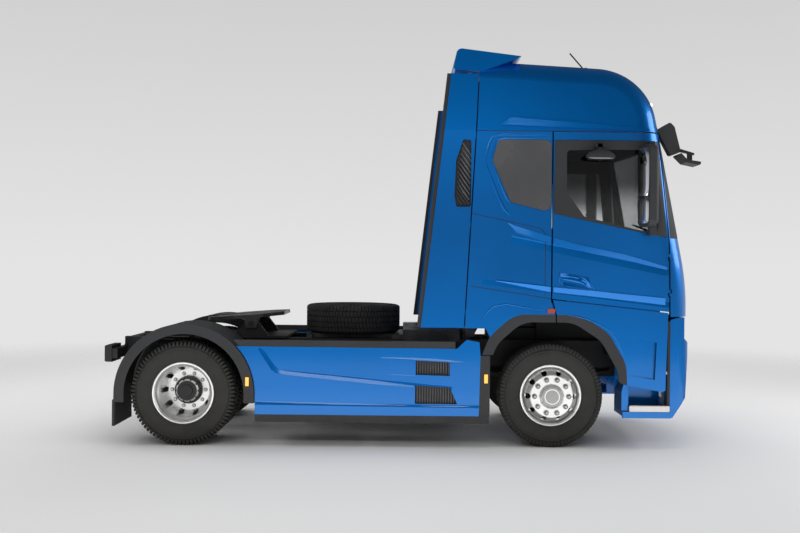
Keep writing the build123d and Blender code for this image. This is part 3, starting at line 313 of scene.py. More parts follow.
# Finishes of the material slots, then those of single nodes and fine pieces:
# name, colour or the colour setting that holds it, and values
LOOKS = {
    "body_paint": ("Body paint", "paint", PAINT),
    "dark_trim": ("Grained trim", "trim", dict(
        rough=0.55, grain=700.0, bump=0.25, blotch=2.0, vary=0.15, dust=0.15, specular=0.3)),
    "tyre": ("Tyre rubber", "tyre", dict(
        rough=0.72, grain=500.0, bump=0.2, blotch=9.0, vary=0.25, dust=0.12, specular=0.35)),
    "alloy": ("Polished alloy", (0.86, 0.86, 0.85), dict(
        rough=0.34, metal=0.75, grain=300.0, bump=0.03, blotch=5.0, vary=0.06, rough_vary=0.06)),
    "tinted_glass": ("Tinted glass", (0.6, 0.61, 0.62), GLASS),
    "dark_panel": ("Gloss panel", (0.07, 0.071, 0.074), dict(rough=0.22, bump=0.0, vary=0.05, coat=0.3)),
    "chassis": ("Chassis paint", (0.012, 0.012, 0.013), dict(
        rough=0.5, grain=200.0, bump=0.1, blotch=4.0, vary=0.3, dust=0.2)),
    "cast": ("Cast iron", (0.03, 0.03, 0.031), dict(
        rough=0.65, metal=0.3, grain=150.0, bump=0.3, blotch=6.0, vary=0.3, dust=0.25)),
    "steel": ("Worn steel", (0.075, 0.075, 0.077), dict(
        rough=0.42, metal=0.7, grain=250.0, bump=0.12, blotch=8.0, vary=0.35, rough_vary=0.15)),
    "tank": ("Plain alloy", (0.5, 0.5, 0.51), dict(rough=0.4, metal=0.9, bump=0.05)),
    "fabric": ("Cab cloth", (0.05, 0.05, 0.06), dict(rough=0.9, grain=600.0, bump=0.5)),
    "inner_plastic": ("Dash plastic", (0.06, 0.06, 0.065), dict(rough=0.6, grain=600.0, bump=0.2)),
    "red_lamp": ("Red lens", (0.45, 0.01, 0.01), LENS),
    "amber_lamp": ("Amber lens", (1.0, 0.42, 0.05), dict(LENS, glow=0.9)),
    "clear_lamp": ("Lamp glass", (0.85, 0.87, 0.9), GLASS),
    "tread": ("Tread alloy", (0.62, 0.6, 0.58), dict(rough=0.35, metal=0.8, grain=120.0, bump=0.2)),
    "cab_paint": ("Cab paint", "paint", dict(PAINT, lined=True)),
    "dim_lamp": ("Dim lens", (0.42, 0.06, 0.015), LENS),
    # Door glass with painted shade, darker towards its top
    "door_glass": ("Shaded glass", (0.78, 0.79, 0.8), dict(GLASS, shade=(2.3, 2.62, 0.16))),
    "nut": ("Nut steel", (0.36, 0.36, 0.36), dict(rough=0.26, metal=1.0, grain=200.0, vary=0.12)),
    "dark_hub": ("Hub paint", (0.02, 0.02, 0.022), dict(
        rough=0.45, metal=0.2, grain=200.0, bump=0.1, vary=0.25)),
    "cast_hub": ("Hub casting", (0.4, 0.4, 0.39), dict(
        rough=0.45, metal=0.8, grain=90.0, bump=0.35, vary=0.2)),
    "mirror": ("Mirror silver", (0.85, 0.87, 0.9), dict(MIRROR, rough=0.03)),
    "dark_mirror": ("Dark mirror", (0.11, 0.11, 0.115), dict(MIRROR, rough=0.12)),
    "joint": ("Joint filler", (0.004, 0.006, 0.012), dict(rough=0.7, bump=0.05, vary=0.1)),
    "chrome": ("Lamp chrome", (0.8, 0.8, 0.82), dict(MIRROR, rough=0.08, vary=0.03, rough_vary=0.02)),
    "marker": ("Marker lens", (1.0, 0.93, 0.82), dict(LENS, glow=1.5)),
    "slat": ("Slat gloss", (0.09, 0.09, 0.095), dict(rough=0.3, bump=0.05, vary=0.1)),
    "seal": ("Seal rubber", (0.008, 0.008, 0.009), dict(rough=0.8, grain=300.0, bump=0.1, vary=0.2)),
}
# Nodes whose finish isn't that of their slot
OWN_LOOKS = {"arch_lamps": "dim_lamp", "door_glass_right": "door_glass", "door_glass_left": "door_glass"}
CAB_SHELL = ("cab_sides", "cab_roof", "cab_front", "cab_rear_wall", "cab_floor", "door_right", "door_left")
OWN_LOOKS.update(dict.fromkeys(CAB_SHELL, "cab_paint"))


def look(key):
    """The finish of a key, made at its first use."""
    name, colour, values = LOOKS[key]
    if isinstance(colour, str):
        colour = getattr(colours(), colour)
    return finish(name, tuple(colour), **values)


def dress(mesh, key):
    """Gives a mesh one finish."""
    mesh.materials.clear()
    mesh.materials.append(look(key))


class TRACTOR_OT_finishes(bpy.types.Operator):
    """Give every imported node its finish"""

    bl_idname = "tractor.finishes"
    bl_label = "Node finishes"

    def execute(self, context):
        for entry in frame["record"]["subparts"]:
            node, slot = entry["node"], entry["material_slot"]
            dress(NODES[node].data, OWN_LOOKS.get(node, slot if slot in LOOKS else "dark_trim"))
        return {"FINISHED"}


# Mesh helpers
def add_object(name, data):
    """A new object linked to the scene."""
    made = bpy.data.objects.new(name, data)
    bpy.context.scene.collection.objects.link(made)
    return made


def bm_mesh(name, bm):
    """Turns a bmesh into a mesh with its faces outwards."""
    bmesh.ops.remove_doubles(bm, verts=bm.verts, dist=1e-5)
    bmesh.ops.recalc_face_normals(bm, faces=bm.faces)
    mesh = bpy.data.meshes.new(name)
    bm.to_mesh(mesh)
    bm.free()
    return mesh


def put(name, form, body, key, smooth=None, slot=None, place=None):
    """Puts a mesh or bmesh as a piece that rides on a body; its slot argument is not used."""
    mesh = form if isinstance(form, bpy.types.Mesh) else bm_mesh(name, form)
    if place is not None:
        mesh.transform(place)
    piece = add_object(name.replace(" ", "_"), mesh)
    dress(mesh, key)
    if smooth is not None:
        for face in mesh.polygons:
            face.use_smooth = True
        mesh.set_sharp_from_angle(angle=math.radians(smooth))
    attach(piece, body)
    slot or key
    return piece


def row(bm, spots):
    """A row of points."""
    return [bm.verts.new(spot) for spot in spots]


def skin(bm, rows, caps=(0, -1), around=True):
    """Faces between rows of points, each row closed on itself if around, with the named rows capped."""
    for one, two in zip(rows, rows[1:]):
        for k in range(len(one) if around else len(one) - 1):
            j = (k + 1) % len(one)
            bm.faces.new((one[k], one[j], two[j], two[k]))
    for end in caps:
        bm.faces.new(rows[end])


def turns(steps):
    """Even angles round a circle."""
    return [2 * math.pi * k / steps for k in range(steps)]


def lathe(bm, profile, steps):
    """Turns a closed outline, points (along, radius), about the Y axis."""
    rings = [row(bm, [(r * math.cos(a), y, r * math.sin(a)) for a in turns(steps)]) for y, r in profile]
    skin(bm, rings + rings[:1], caps=())


def wedge(bm, section, start, end):
    """Block of a section, points (along, radius), between two angles about the Y axis."""
    skin(bm, [row(bm, [(r * math.cos(a), y, r * math.sin(a)) for y, r in section]) for a in (start, end)])


def drum(bm, x, radius, low, high, steps=24, top=None):
    """Round or many-sided stub along Y at x, from low to high, drawn in to a top radius."""
    ends = ((low, radius), (high, top or radius))
    skin(bm, [row(bm, [(x + r * math.cos(a), y, r * math.sin(a)) for a in turns(steps)]) for y, r in ends])


def block(bm, one, two, bevel=0.0, segments=2):
    """A block between two opposite corners, its edges rounded by bevel."""
    low, high = zip(*(sorted(pair) for pair in zip(one, two)))
    verts = bmesh.ops.create_cube(bm, size=1.0)["verts"]
    for vert in verts:
        vert.co = [lo + (hi - lo) * (c + 0.5) for lo, hi, c in zip(low, high, vert.co)]
    if bevel:
        edges = [edge for edge in bm.edges if edge.verts[0] in verts]
        bmesh.ops.bevel(bm, geom=edges, offset=bevel, segments=segments, affect="EDGES")


def side_block(bm, side, one, two, bevel=0.0):
    """A block on one side, between two corners given for the left side."""
    block(bm, *((x, side * y, z) for x, y, z in (one, two)), bevel=bevel)


def reach(node, start, heading):
    """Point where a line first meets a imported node."""
    hit, spot = NODES[node].ray_cast(Vector(start), Vector(heading))[:2]
    if not hit:
        raise RuntimeError("no face of " + node + " on the line")
    return spot


# Geometry Nodes trees for what repeats
def ring_points(tree, entry):
    """Points at the origin, each with its even turn about the Y axis."""
    index = add_node(tree, "GeometryNodeInputIndex").outputs[0]
    turn = maths(tree, "MULTIPLY", maths(tree, "DIVIDE", index, entry["Count"]), 2 * math.pi)
    angles = add_node(tree, "ShaderNodeCombineXYZ", {"Y": turn})
    spin = add_node(tree, "FunctionNodeEulerToRotation", {0: angles.outputs[0]})
    points = add_node(tree, "GeometryNodePoints", {"Count": entry["Count"]})
    return {"Points": points.outputs[0], "Rotation": spin.outputs[0]}


def row_points(tree, entry):
    """Points set off evenly along a line."""
    line = add_node(tree, "GeometryNodeMeshLine", {"Count": entry["Count"], "Offset": entry["Offset"]})
    return {"Points": line.outputs[0]}


def copy_nodes(tree, sockets, spread):
    """Copies of a mesh on the points that spread makes, made real and given their material."""
    for name, kind in (("Geometry", "Geometry"), *sockets, ("Material", "Material")):
        add_socket(tree, name, kind)
    add_socket(tree, "Geometry", "Geometry", "OUTPUT")
    entry = add_node(tree, "NodeGroupInput").outputs
    feeds = {"Instance": entry["Geometry"], **spread(tree, entry)}
    copies = add_node(tree, "GeometryNodeInstanceOnPoints", feeds)
    real = add_node(tree, "GeometryNodeRealizeInstances", {"Geometry": copies.outputs["Instances"]})
    feeds = {"Geometry": real.outputs["Geometry"], "Material": entry["Material"]}
    coat = add_node(tree, "GeometryNodeSetMaterial", feeds)
    add_node(tree, "NodeGroupOutput", {"Geometry": coat.outputs["Geometry"]})


RING = ("Ring of copies", "GeometryNodeTree", copy_nodes, (("Count", "Int"),), ring_points)
ROW = ("Row of copies", "GeometryNodeTree", copy_nodes, (("Count", "Int"), ("Offset", "Vector")), row_points)


def repeat(name, bm, layout, settings, body, key, smooth=None, slot=None, place=None):
    """Runs a copy tree on a bmesh and puts the result as a plain piece."""
    tree = shared_group(*layout)
    seed = add_object(name + " seed", bm_mesh(name, bm))
    modifier = seed.modifiers.new("Repeat", "NODES")
    modifier.node_group = tree
    settings = {**settings, "Material": look(key)}
    for item in tree.interface.items_tree:
        if item.item_type == "SOCKET" and item.in_out == "INPUT" and item.name in settings:
            modifier[item.identifier] = settings[item.name]
    graph = bpy.context.evaluated_depsgraph_get()
    made = bpy.data.meshes.new_from_object(seed.evaluated_get(graph))
    seed.modifiers.clear()
    bpy.data.objects.remove(seed)
    if not made.polygons:
        raise RuntimeError(name + " came out empty")
    return put(name, made, body, key, smooth, slot, place)


# Each axle: names, offsets of its tyres and tread, then face under the nuts, hub outline and hub bolts
AXLES = (
    {"name": "front", "node": "tyre_front_", "body": "wheel_front_", "twin": (0.0,), "blocks": 84,
     "gap": 0.16, "nut_face": 0.197, "hub_look": "cast_hub", "bolt_look": "nut",
     "bolt": (0.088, 0.009, 0.224, 0.238),
     "hub": ((0.225, 0.104), (0.2345, 0.104), (0.2365, 0.1), (0.2365, 0.078), (0.2325, 0.074),
             (0.2325, 0.066), (0.2375, 0.062), (0.239, 0.02), (0.239, 0.0005), (0.225, 0.0005))},
    {"name": "rear", "node": "tyres_rear_", "body": "wheels_rear_", "twin": (-0.175, 0.175), "blocks": 80,
     "gap": 0.38, "nut_face": -0.175, "hub_look": "dark_hub", "bolt_look": "dark_hub",
     "bolt": (0.113, 0.011, -0.075, -0.058),
     "hub": ((-0.17, 0.138), (-0.118, 0.138), (-0.07, 0.1245), (-0.066, 0.1), (-0.05, 0.097), (-0.047, 0.06),
             (-0.034, 0.056), (-0.032, 0.0005), (-0.17, 0.0005))},
)
WHEELS = [(axle, side, hand) for axle in AXLES for side, hand in ((-1, "right"), (1, "left"))]
# Sidewall from bead to shoulder, (along, radius) as shares of the tyre radius
SIDEWALL = (
    (0.205, 0.562), (0.235, 0.575), (0.252, 0.602), (0.262, 0.624), (0.272, 0.632), (0.277, 0.66),
    (0.291, 0.715), (0.299, 0.765), (0.302, 0.805), (0.300, 0.835), (0.295, 0.85), (0.298, 0.856),
    (0.298, 0.868), (0.289, 0.878), (0.279, 0.9), (0.263, 0.92), (0.24, 0.94), (0.216, 0.952),
)
TREAD_FOOT = 0.94
MIDDLE_RIB = (-0.051, 0.051)
SECOND_RIB = (0.066, 0.161)
SHOULDER = ((0.176, 0.94), (0.176, 1.0), (0.232, 0.999), (0.256, 0.99), (0.275, 0.968), (0.29, 0.925),
            (0.293, 0.9), (0.262, 0.905))
BEAD_RING = ((0.119, 0.285), (0.1265, 0.285), (0.1285, 0.292), (0.1265, 0.3005), (0.119, 0.3005))
HUB_BOLTS = 10


def wheel_place(spot, side):
    """Moves a wheel-centred mesh to its place, outer face to the given side."""
    turn = Matrix.Identity(4) if side > 0 else Matrix.Rotation(math.pi, 4, "Z")
    return Matrix.Translation(spot) @ turn


def rib_section(low, high):
    """Section of a plain tread rib."""
    return ((low, TREAD_FOOT), (low, 1.0), (high, 1.0), (high, TREAD_FOOT))


def tread_slice(radius, count, gap):
    """One slice of tread: a block of each rib, the cuts staggered by a share of the pitch."""
    pitch = 2 * math.pi / count
    bm = bmesh.new()
    for section, sides, stagger in (
        (rib_section(*MIDDLE_RIB), (1,), 0.0),
        (rib_section(*SECOND_RIB), (1, -1), 0.5),
        (SHOULDER, (1, -1), 0.25),
    ):
        for side in sides:
            start = pitch * (stagger if side > 0 else stagger + 0.3)
            outline = [(side * y * radius, r * radius) for y, r in section]
            wedge(bm, outline, start, start + pitch * (1 - gap))
    return bm


class TRACTOR_OT_tyres(bpy.types.Operator):
    """Make tyres with moulded sidewalls and cut tread"""

    bl_idname = "tractor.tyres"
    bl_label = "Tyres"

    def execute(self, context):
        for axle, side, hand in WHEELS:
            node = axle["node"] + hand
            middle = node_centre(node)
            for offset in axle["twin"]:
                place = wheel_place((middle.x, middle.y + offset, AXLE_Z), side)
                label = f"{axle['name']} {hand}" + (" inner" if offset * side < 0 else "")
                self.tyre(label, axle, place, axle["body"] + hand, node)
        lay = Matrix.Translation(node_centre("spare_tyre")) @ Matrix.Rotation(math.radians(90), 4, "X")
        self.tyre("spare", AXLES[0], lay, "chassis", "spare_tyre")
        return {"FINISHED"}

    def tyre(self, label, axle, place, body, node):
        """One tyre: carcass and tread."""
        radius = sizes().tyre_radius
        half = [(y * radius, r * radius) for y, r in SIDEWALL]
        carcass = bmesh.new()
        lathe(carcass, half + [(-y, r) for y, r in reversed(half)], 112)
        piece = put("Tyre " + label, carcass, body, "tyre", 28, place=place)
        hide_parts(node)
        tread = tread_slice(radius, axle["blocks"], axle["gap"])
        repeat("Tread " + label, tread, RING, {"Count": axle["blocks"]}, body, "tyre", place=place)


class TRACTOR_OT_wheel_fittings(bpy.types.Operator):
    """Make wheel nuts, hub covers and bead rings"""

    bl_idname = "tractor.wheel_fittings"
    bl_label = "Wheel fittings"

    def execute(self, context):
        setting = sizes()
        for axle, side, hand in WHEELS:
            middle = node_centre(axle["node"] + hand)
            place = wheel_place((middle.x, middle.y + side * axle["twin"][-1], AXLE_Z), side)
            body = axle["body"] + hand
            label = f" {axle['name']} {hand}"
            nut = self.nut(setting.nut_circle, axle["nut_face"])
            repeat("Nuts" + label, nut, RING, {"Count": setting.nut_count}, body, "nut", 30, "alloy", place)
            ring, hub, bolt = bmesh.new(), bmesh.new(), bmesh.new()
            lathe(ring, BEAD_RING, 112)
            put("Bead ring" + label, ring, body, "alloy", 40, place=place)
            lathe(hub, axle["hub"], 72)
            put("Hub" + label, hub, body, axle["hub_look"], 35, "alloy", place)
            drum(bolt, *axle["bolt"], 6)
            bolts = {"Count": HUB_BOLTS}
            repeat("Hub bolts" + label, bolt, RING, bolts, body, axle["bolt_look"], None, "alloy", place)
        return {"FINISHED"}

    def nut(self, circle, face):
        """Wheel nut with its washer, on the nut circle."""
        bm = bmesh.new()
        drum(bm, circle, 0.0285, face - 0.004, face + 0.006, top=0.0265)
        drum(bm, circle, 0.0215, face + 0.005, face + 0.026, 6)
        drum(bm, circle, 0.0185, face + 0.026, face + 0.034, top=0.012)
        return bm


MIRROR_MIDDLE = (2.345, 1.395, 2.56)
MIRROR_TURN = math.radians(14)
# Lower and upper end of each pane, from the middle
MIRROR_PANES = ((-0.1, 0.36), (-0.36, -0.115))


class TRACTOR_OT_mirrors(bpy.types.Operator):
    """Make the convex mirror glasses on both doors"""

    bl_idname = "tractor.mirrors"
    bl_label = "Mirror glass"

    def execute(self, context):
        x, y, z = MIRROR_MIDDLE
        for side, body in DOORS:
            back = Vector((-math.cos(MIRROR_TURN), side * math.sin(MIRROR_TURN), 0))
            out = Vector((0, 0, 1)).cross(back) * -side
            middle = Vector((x, side * y, z))
            bm = bmesh.new()
            for low, high in MIRROR_PANES:
                self.pane(bm, middle, out, back, low, high)
            put("Mirror glass " + body, bm, body, "mirror", 40, "clear_lamp")
        return {"FINISHED"}

    def pane(self, bm, middle, out, back, low, high):
        """One pane between two heights, bulged and turned outwards, closed by a foot in the housing."""
        half, columns, lines, depth = 0.1, 14, 18, 0.03
        grid = []
        for i in range(lines + 1):
            v = 2 * i / lines - 1
            lift = Vector((0, 0, (low + high) / 2 + v * (high - low) / 2))
            squeeze = 1 - 0.25 * abs(v) ** 8
            spots = []
            for j in range(columns + 1):
                u = 2 * j / columns - 1
                bulge = 0.004 + 0.022 * (1 - u * u) - 0.008 * u + 0.004 * (1 - v * v)
                spots.append(middle + out * (half * u * squeeze) + back * bulge + lift)
            grid.append(row(bm, spots))
        skin(bm, grid, caps=(), around=False)
        rim = grid[0] + [line[-1] for line in grid[1:]] + grid[-1][-2::-1]
        rim += [line[0] for line in grid[-2:0:-1]]
        skin(bm, [rim, row(bm, [vert.co - back * depth for vert in rim])], caps=(-1,))


# Lines on the side faces, as points (x, z)
def ribbon(bm, line, width, y, thick):
    """Thin strip along a line at y, standing out by thick."""
    for (x0, z0), (x1, z1) in zip(line, line[1:]):
        run = math.hypot(x1 - x0, z1 - z0)
        nx, nz = (z0 - z1) / run * width / 2, (x1 - x0) / run * width / 2
        corners = ((x0 + nx, z0 + nz), (x0 - nx, z0 - nz), (x1 - nx, z1 - nz), (x1 + nx, z1 + nz))
        skin(bm, [row(bm, [(x, y + d, z) for x, z in corners]) for d in (0.0, thick)])


def along(line):
    """Each point of a line with the unit normal there and whether it is an end."""
    last = len(line) - 1
    for i, (x, z) in enumerate(line):
        (x0, z0), (x1, z1) = line[max(i - 1, 0)], line[min(i + 1, last)]
        run = math.hypot(x1 - x0, z1 - z0)
        yield x, z, (z0 - z1) / run, (x1 - x0) / run, i in (0, last)


def facet(bm, upper, lower, y, side, out_upper, out_lower):
    """Closed strip between two lines, each point of a line standing out by its own amount."""
    buried = [-0.002] * len(upper)
    rows = []
    for line, outs in ((upper, buried), (upper, out_upper), (lower, out_lower), (lower, buried)):
        rows.append(row(bm, [(x, side * (y + out), z) for (x, z), out in zip(line, outs)]))
    skin(bm, list(zip(*rows)))


def ledge(bm, line, width, y, side, slope):
    """Pressed edge along a line, whose sloped face looks up and out; its ends are narrow."""
    upper, lower, outs = [], [], []
    for x, z, nx, nz, end in along(line):
        half = width / 2 * (0.3 if end else 1.0)
        upper.append((x + nx * half, z + nz * half))
        lower.append((x - nx * half, z - nz * half))
        outs.append(2 * half * slope)
    facet(bm, upper, lower, y, side, [0.0] * len(line), outs)


def bead(bm, line, y, side, width, rise):
    """Rounded edge along a line, bedded in its face; its ends are narrow."""
    steps = 6
    rows = []
    for x, z, nx, nz, end in along(line):
        taper = 0.35 if end else 1.0
        spots = []
        for k in range(steps + 1):
            angle = math.pi * k / steps
            across, out = math.cos(angle) * width / 2 * taper, math.sin(angle) * rise * taper
            spots.append((x + nx * across, side * (y - BEDDED + out), z + nz * across))
        rows.append(row(bm, spots))
    skin(bm, rows)


SEAM_WIDTH = 0.006
SEAM_SUNK = 0.0008
SEAM_THICK = 0.0015
SEAMS = (
    ((0.716, 2.288), (1.384, 2.149), (1.431, 2.093), (1.431, 1.49)),
    ((0.702, 1.583), (1.489, 1.466)),
    ((0.742, 3.093), (2.535, 3.093)),
)


class TRACTOR_OT_seams(bpy.types.Operator):
    """Make the panel joints that show as fine dark lines"""

    bl_idname = "tractor.seams"
    bl_label = "Panel joints"

    def execute(self, context):
        bm = bmesh.new()
        for side in SIDES:
            for seam in SEAMS:
                ribbon(bm, seam, SEAM_WIDTH, side * (CAB_SIDE - SEAM_SUNK), side * SEAM_THICK)
        put("Panel joints", bm, "cab", "joint", slot="dark_trim")
        return {"FINISHED"}


# Pressed bands of the cab side: upper and lower edge lines, and how far each stands out
CAB_BANDS = (
    {"upper": ((1.058, 2.205), (1.13, 2.172), (1.333, 2.114), (1.486, 2.066)),
     "lower": ((1.07, 2.19), (1.155, 2.1), (1.333, 2.046), (1.486, 2.005)), "out": (0.0085, 0.001)},
    {"upper": ((0.95, 1.638), (1.418, 1.588), (1.486, 1.58)),
     "lower": ((0.95, 1.632), (1.418, 1.541), (1.486, 1.531)), "out": (0.011, 0.001)},
    {"upper": ((0.99, 3.16), (1.087, 3.228), (1.75, 3.18), (2.418, 3.131)),
     "lower": ((0.985, 3.152), (1.087, 3.15), (1.75, 3.125), (2.44, 3.11)), "out": (0.0, 0.0055)},
)
DOOR_BANDS = (
    {"upper": ((1.512, 2.058), (1.761, 1.993), (2.217, 1.9), (2.61, 1.786)),
     "lower": ((1.512, 1.998), (1.761, 1.935), (2.217, 1.846), (2.61, 1.756)), "out": (0.0075, 0.001)},
    {"upper": ((1.512, 1.578), (1.89, 1.547), (2.231, 1.514), (2.6, 1.482)),
     "lower": ((1.512, 1.53), (1.89, 1.492), (2.231, 1.455), (2.6, 1.414)), "out": (0.012, 0.001)},
)
# Edge lines of the skirt panel, each with its width and slope
SKIRT_EDGES = (
    {"line": ((-1.327, 0.955), (-1.29, 0.9), (-1.246, 0.835), (-1.215, 0.79), (-1.181, 0.757), (-1.14, 0.733),
              (-1.09, 0.72), (-0.2, 0.634), (0.168, 0.598)), "width": 0.034, "slope": 0.35},
    {"line": ((-1.366, 0.437), (-0.6, 0.424), (0.094, 0.413)), "width": 0.016, "slope": 0.377},
    {"line": ((0.24, 0.409), (0.62, 0.408), (0.72, 0.408)), "width": 0.014, "slope": 0.377},
    {"line": ((-0.16, 0.877), (0.19, 0.868), (0.51, 0.85), (0.64, 0.838)), "width": 0.018, "slope": 0.328},
    {"line": ((-0.06, 0.711), (0.17, 0.706)), "width": 0.014, "slope": 0.345},
    {"line": ((0.53, 0.7), (0.63, 0.672)), "width": 0.014, "slope": 0.348},
)
# Raised lip round the front wheel arch: the part on the cab and the part on the door
CAB_LIP = ((0.815, 1.245), (0.87, 1.33), (0.93, 1.385), (1.05, 1.41), (1.25, 1.378), (1.487, 1.342))
DOOR_LIP = ((1.55, 1.334), (1.83, 1.275), (1.98, 1.215), (2.07, 1.155), (2.13, 1.068), (2.18, 0.96),
            (2.24, 0.85))
# Lines round the dark side panel: its bright edge and the edge of its surround
PANEL_EDGE = ((1.487, 3.022), (1.02, 3.022), (0.975, 3.012), (0.95, 2.985), (0.9, 2.83), (0.905, 2.78),
              (1.05, 2.44), (1.085, 2.395))
PANEL_SURROUND = ((1.487, 3.06), (0.98, 3.06), (0.915, 3.04), (0.885, 2.99), (0.838, 2.83), (0.842, 2.76),
                  (0.97, 2.45), (1.03, 2.33), (1.09, 2.27))
EDGE_BEAD = dict(width=0.02, rise=0.006)
SURROUND_BEAD = dict(width=0.03, rise=0.005)
LIP_BEAD = dict(width=0.016, rise=0.006)


class TRACTOR_OT_relief(bpy.types.Operator):
    """Make the pressed bands, edge lines and arch lips of the painted panels"""

    bl_idname = "tractor.relief"
    bl_label = "Pressed bands"

    def execute(self, context):
        cab, skirt, lips = bmesh.new(), bmesh.new(), bmesh.new()
        for side, body in DOORS:
            door, door_lip = bmesh.new(), bmesh.new()
            self.bands(cab, CAB_BANDS, side)
            self.bands(door, DOOR_BANDS, side)
            put("Door bands " + body, door, body, "body_paint", 20)
            bead(cab, PANEL_EDGE, CAB_SIDE, side, **EDGE_BEAD)
            bead(cab, PANEL_SURROUND, CAB_SIDE, side, **SURROUND_BEAD)
            for edge in SKIRT_EDGES:
                ledge(skirt, edge["line"], edge["width"], SKIRT_SIDE, side, edge["slope"])
            bead(lips, CAB_LIP, CAB_SIDE, side, **LIP_BEAD)
            bead(door_lip, DOOR_LIP, CAB_SIDE, side, **LIP_BEAD)
            put("Door lip " + body, door_lip, body, "body_paint", 60)
        put("Cab bands", cab, "cab", "body_paint", 20)
        put("Skirt edges", skirt, "chassis", "body_paint", 12)
        put("Arch lips", lips, "cab", "body_paint", 60)
        return {"FINISHED"}

    def bands(self, bm, bands, side):
        """Pressed bands on one side."""
        for band in bands:
            outs = [[out] * len(band["upper"]) for out in band["out"]]
            facet(bm, band["upper"], band["lower"], CAB_SIDE, side, *outs)


HANDLE_OUTLINE = (
    (1.585, 1.708), (1.66, 1.702), (1.74, 1.69), (1.805, 1.67), (1.85, 1.632), (1.887, 1.575), (1.883, 1.54),
    (1.85, 1.532), (1.74, 1.553), (1.63, 1.575), (1.592, 1.6), (1.576, 1.65), (1.574, 1.69),
)
# Size of the outline and how far it stands out, from the rim to the floor of the cup
HANDLE_CUP = ((1.1, -0.001), (1.07, 0.005), (1.0, 0.006), (0.93, 0.001), (0.84, -0.01), (0.7, -0.0145))
HANDLE_GRIP = ((1.59, 1.662), (1.68, 1.652), (1.77, 1.632), (1.83, 1.6))
GRIP_BEAD = dict(width=0.036, rise=0.011)
GRIP_SUNK = 0.0025


class TRACTOR_OT_handles(bpy.types.Operator):
    """Make the handle cups and grips of both doors"""

    bl_idname = "tractor.handles"
    bl_label = "Door handles"

    def execute(self, context):
        mx, mz = (sum(values) / len(HANDLE_OUTLINE) for values in zip(*HANDLE_OUTLINE))
        for side, body in DOORS:
            cup, grip = bmesh.new(), bmesh.new()
            rows = []
            for grow, out in HANDLE_CUP:
                y = side * (CAB_SIDE + out)
                spots = [(mx + (x - mx) * grow, y, mz + (z - mz) * grow) for x, z in HANDLE_OUTLINE]
                rows.append(row(cup, spots))
            skin(cup, rows, caps=(-1,))
            put("Handle cup " + body, cup, body, "body_paint", 50)
            bead(grip, HANDLE_GRIP, CAB_SIDE - GRIP_SUNK, side, **GRIP_BEAD)
            put("Handle grip " + body, grip, body, "body_paint", 60)
        return {"FINISHED"}


KERB_MIDDLE = (1.935, 1.365, 2.83)
KERB_HALF = (0.145, 0.085)
KERB_SHELL = {"low": 0.0, "high": 90.0, "depth": 0.075}
KERB_GLASS = {"low": -28.0, "high": 0.0, "depth": 0.05}
# Arm and drop of the bracket as pairs of corners, for the left side
KERB_BRACKET = (((1.89, 1.235, 2.92), (1.975, 1.36, 2.965)), ((1.9, 1.335, 2.87), (1.965, 1.36, 2.965)))


class TRACTOR_OT_kerb_mirrors(bpy.types.Operator):
    """Make the kerb mirrors over the door glass"""

    bl_idname = "tractor.kerb_mirrors"
    bl_label = "Kerb mirrors"

    def execute(self, context):
        for side, body in DOORS:
            shell, glass, bracket = bmesh.new(), bmesh.new(), bmesh.new()
            skin(shell, self.rings(shell, side, **KERB_SHELL), caps=(0,))
            skin(glass, self.rings(glass, side, **KERB_GLASS))
            for corners in KERB_BRACKET:
                side_block(bracket, side, *corners, bevel=0.008)
            put("Kerb mirror " + body, shell, body, "dark_trim", 50)
            put("Kerb glass " + body, glass, body, "dark_mirror", 50, "clear_lamp")
            put("Kerb bracket " + body, bracket, body, "dark_trim", 40)
        return {"FINISHED"}

    def rings(self, bm, side, low, high, depth):
        """Rings of a flattened ball between two heights, given in degrees."""
        (x, y, z), (long, wide), steps = KERB_MIDDLE, KERB_HALF, 8
        rows = []
        for i in range(steps + 1):
            lift = math.radians(low + (high - low) * i / steps)
            u, v, top = long * math.cos(lift), wide * math.cos(lift), z + depth * math.sin(lift)
            spots = [(x + u * math.cos(a), side * (y + v * math.sin(a)), top) for a in turns(28)]
            rows.append(row(bm, spots))
        return rows


STEP_NOSE = ((2.262, 1.2225, 0.374), (2.655, 1.2475, 0.432))
# Grip teeth on the lower step: first tooth, rows inwards and every second row set off
TOOTH_SPOT = (2.285, 1.19, 0.389)
TOOTH_ROWS = 3
TOOTH_ROW_GAP = 0.07
TOOTH_SET_OFF = 0.02
TOOTH_PITCH = 0.042


class TRACTOR_OT_step_noses(bpy.types.Operator):
    """Make the alloy noses and grip teeth of the lower steps"""

    bl_idname = "tractor.step_noses"
    bl_label = "Step noses"

    def execute(self, context):
        upright = Matrix.Rotation(math.radians(90), 4, "X")
        x, y, z = TOOTH_SPOT
        teeth = {"Count": 9, "Offset": (TOOTH_PITCH, 0.0, 0.0)}
        for side in SIDES:
            nose = bmesh.new()
            side_block(nose, side, *STEP_NOSE, bevel=0.006)
            put(f"Step nose {side}", nose, "chassis", "tread", 40)
            for line in range(TOOTH_ROWS):
                tooth = bmesh.new()
                drum(tooth, x, 0.012, 0.0, 0.012, steps=12, top=0.008)
                spot = (TOOTH_SET_OFF * (line % 2), side * (y - TOOTH_ROW_GAP * line), z)
                place = Matrix.Translation(spot) @ upright
                repeat(f"Step grip {side} {line}", tooth, ROW, teeth, "chassis", "tread", 40, place=place)
        return {"FINISHED"}


FORWARD = (1, 0, 0)
BACKWARD = (-1, 0, 0)
AHEAD = 4.0
BEHIND = -3.0
WIPER_FEET = (-0.88, -0.3, 0.28)
WIPER_SPAN = 0.5
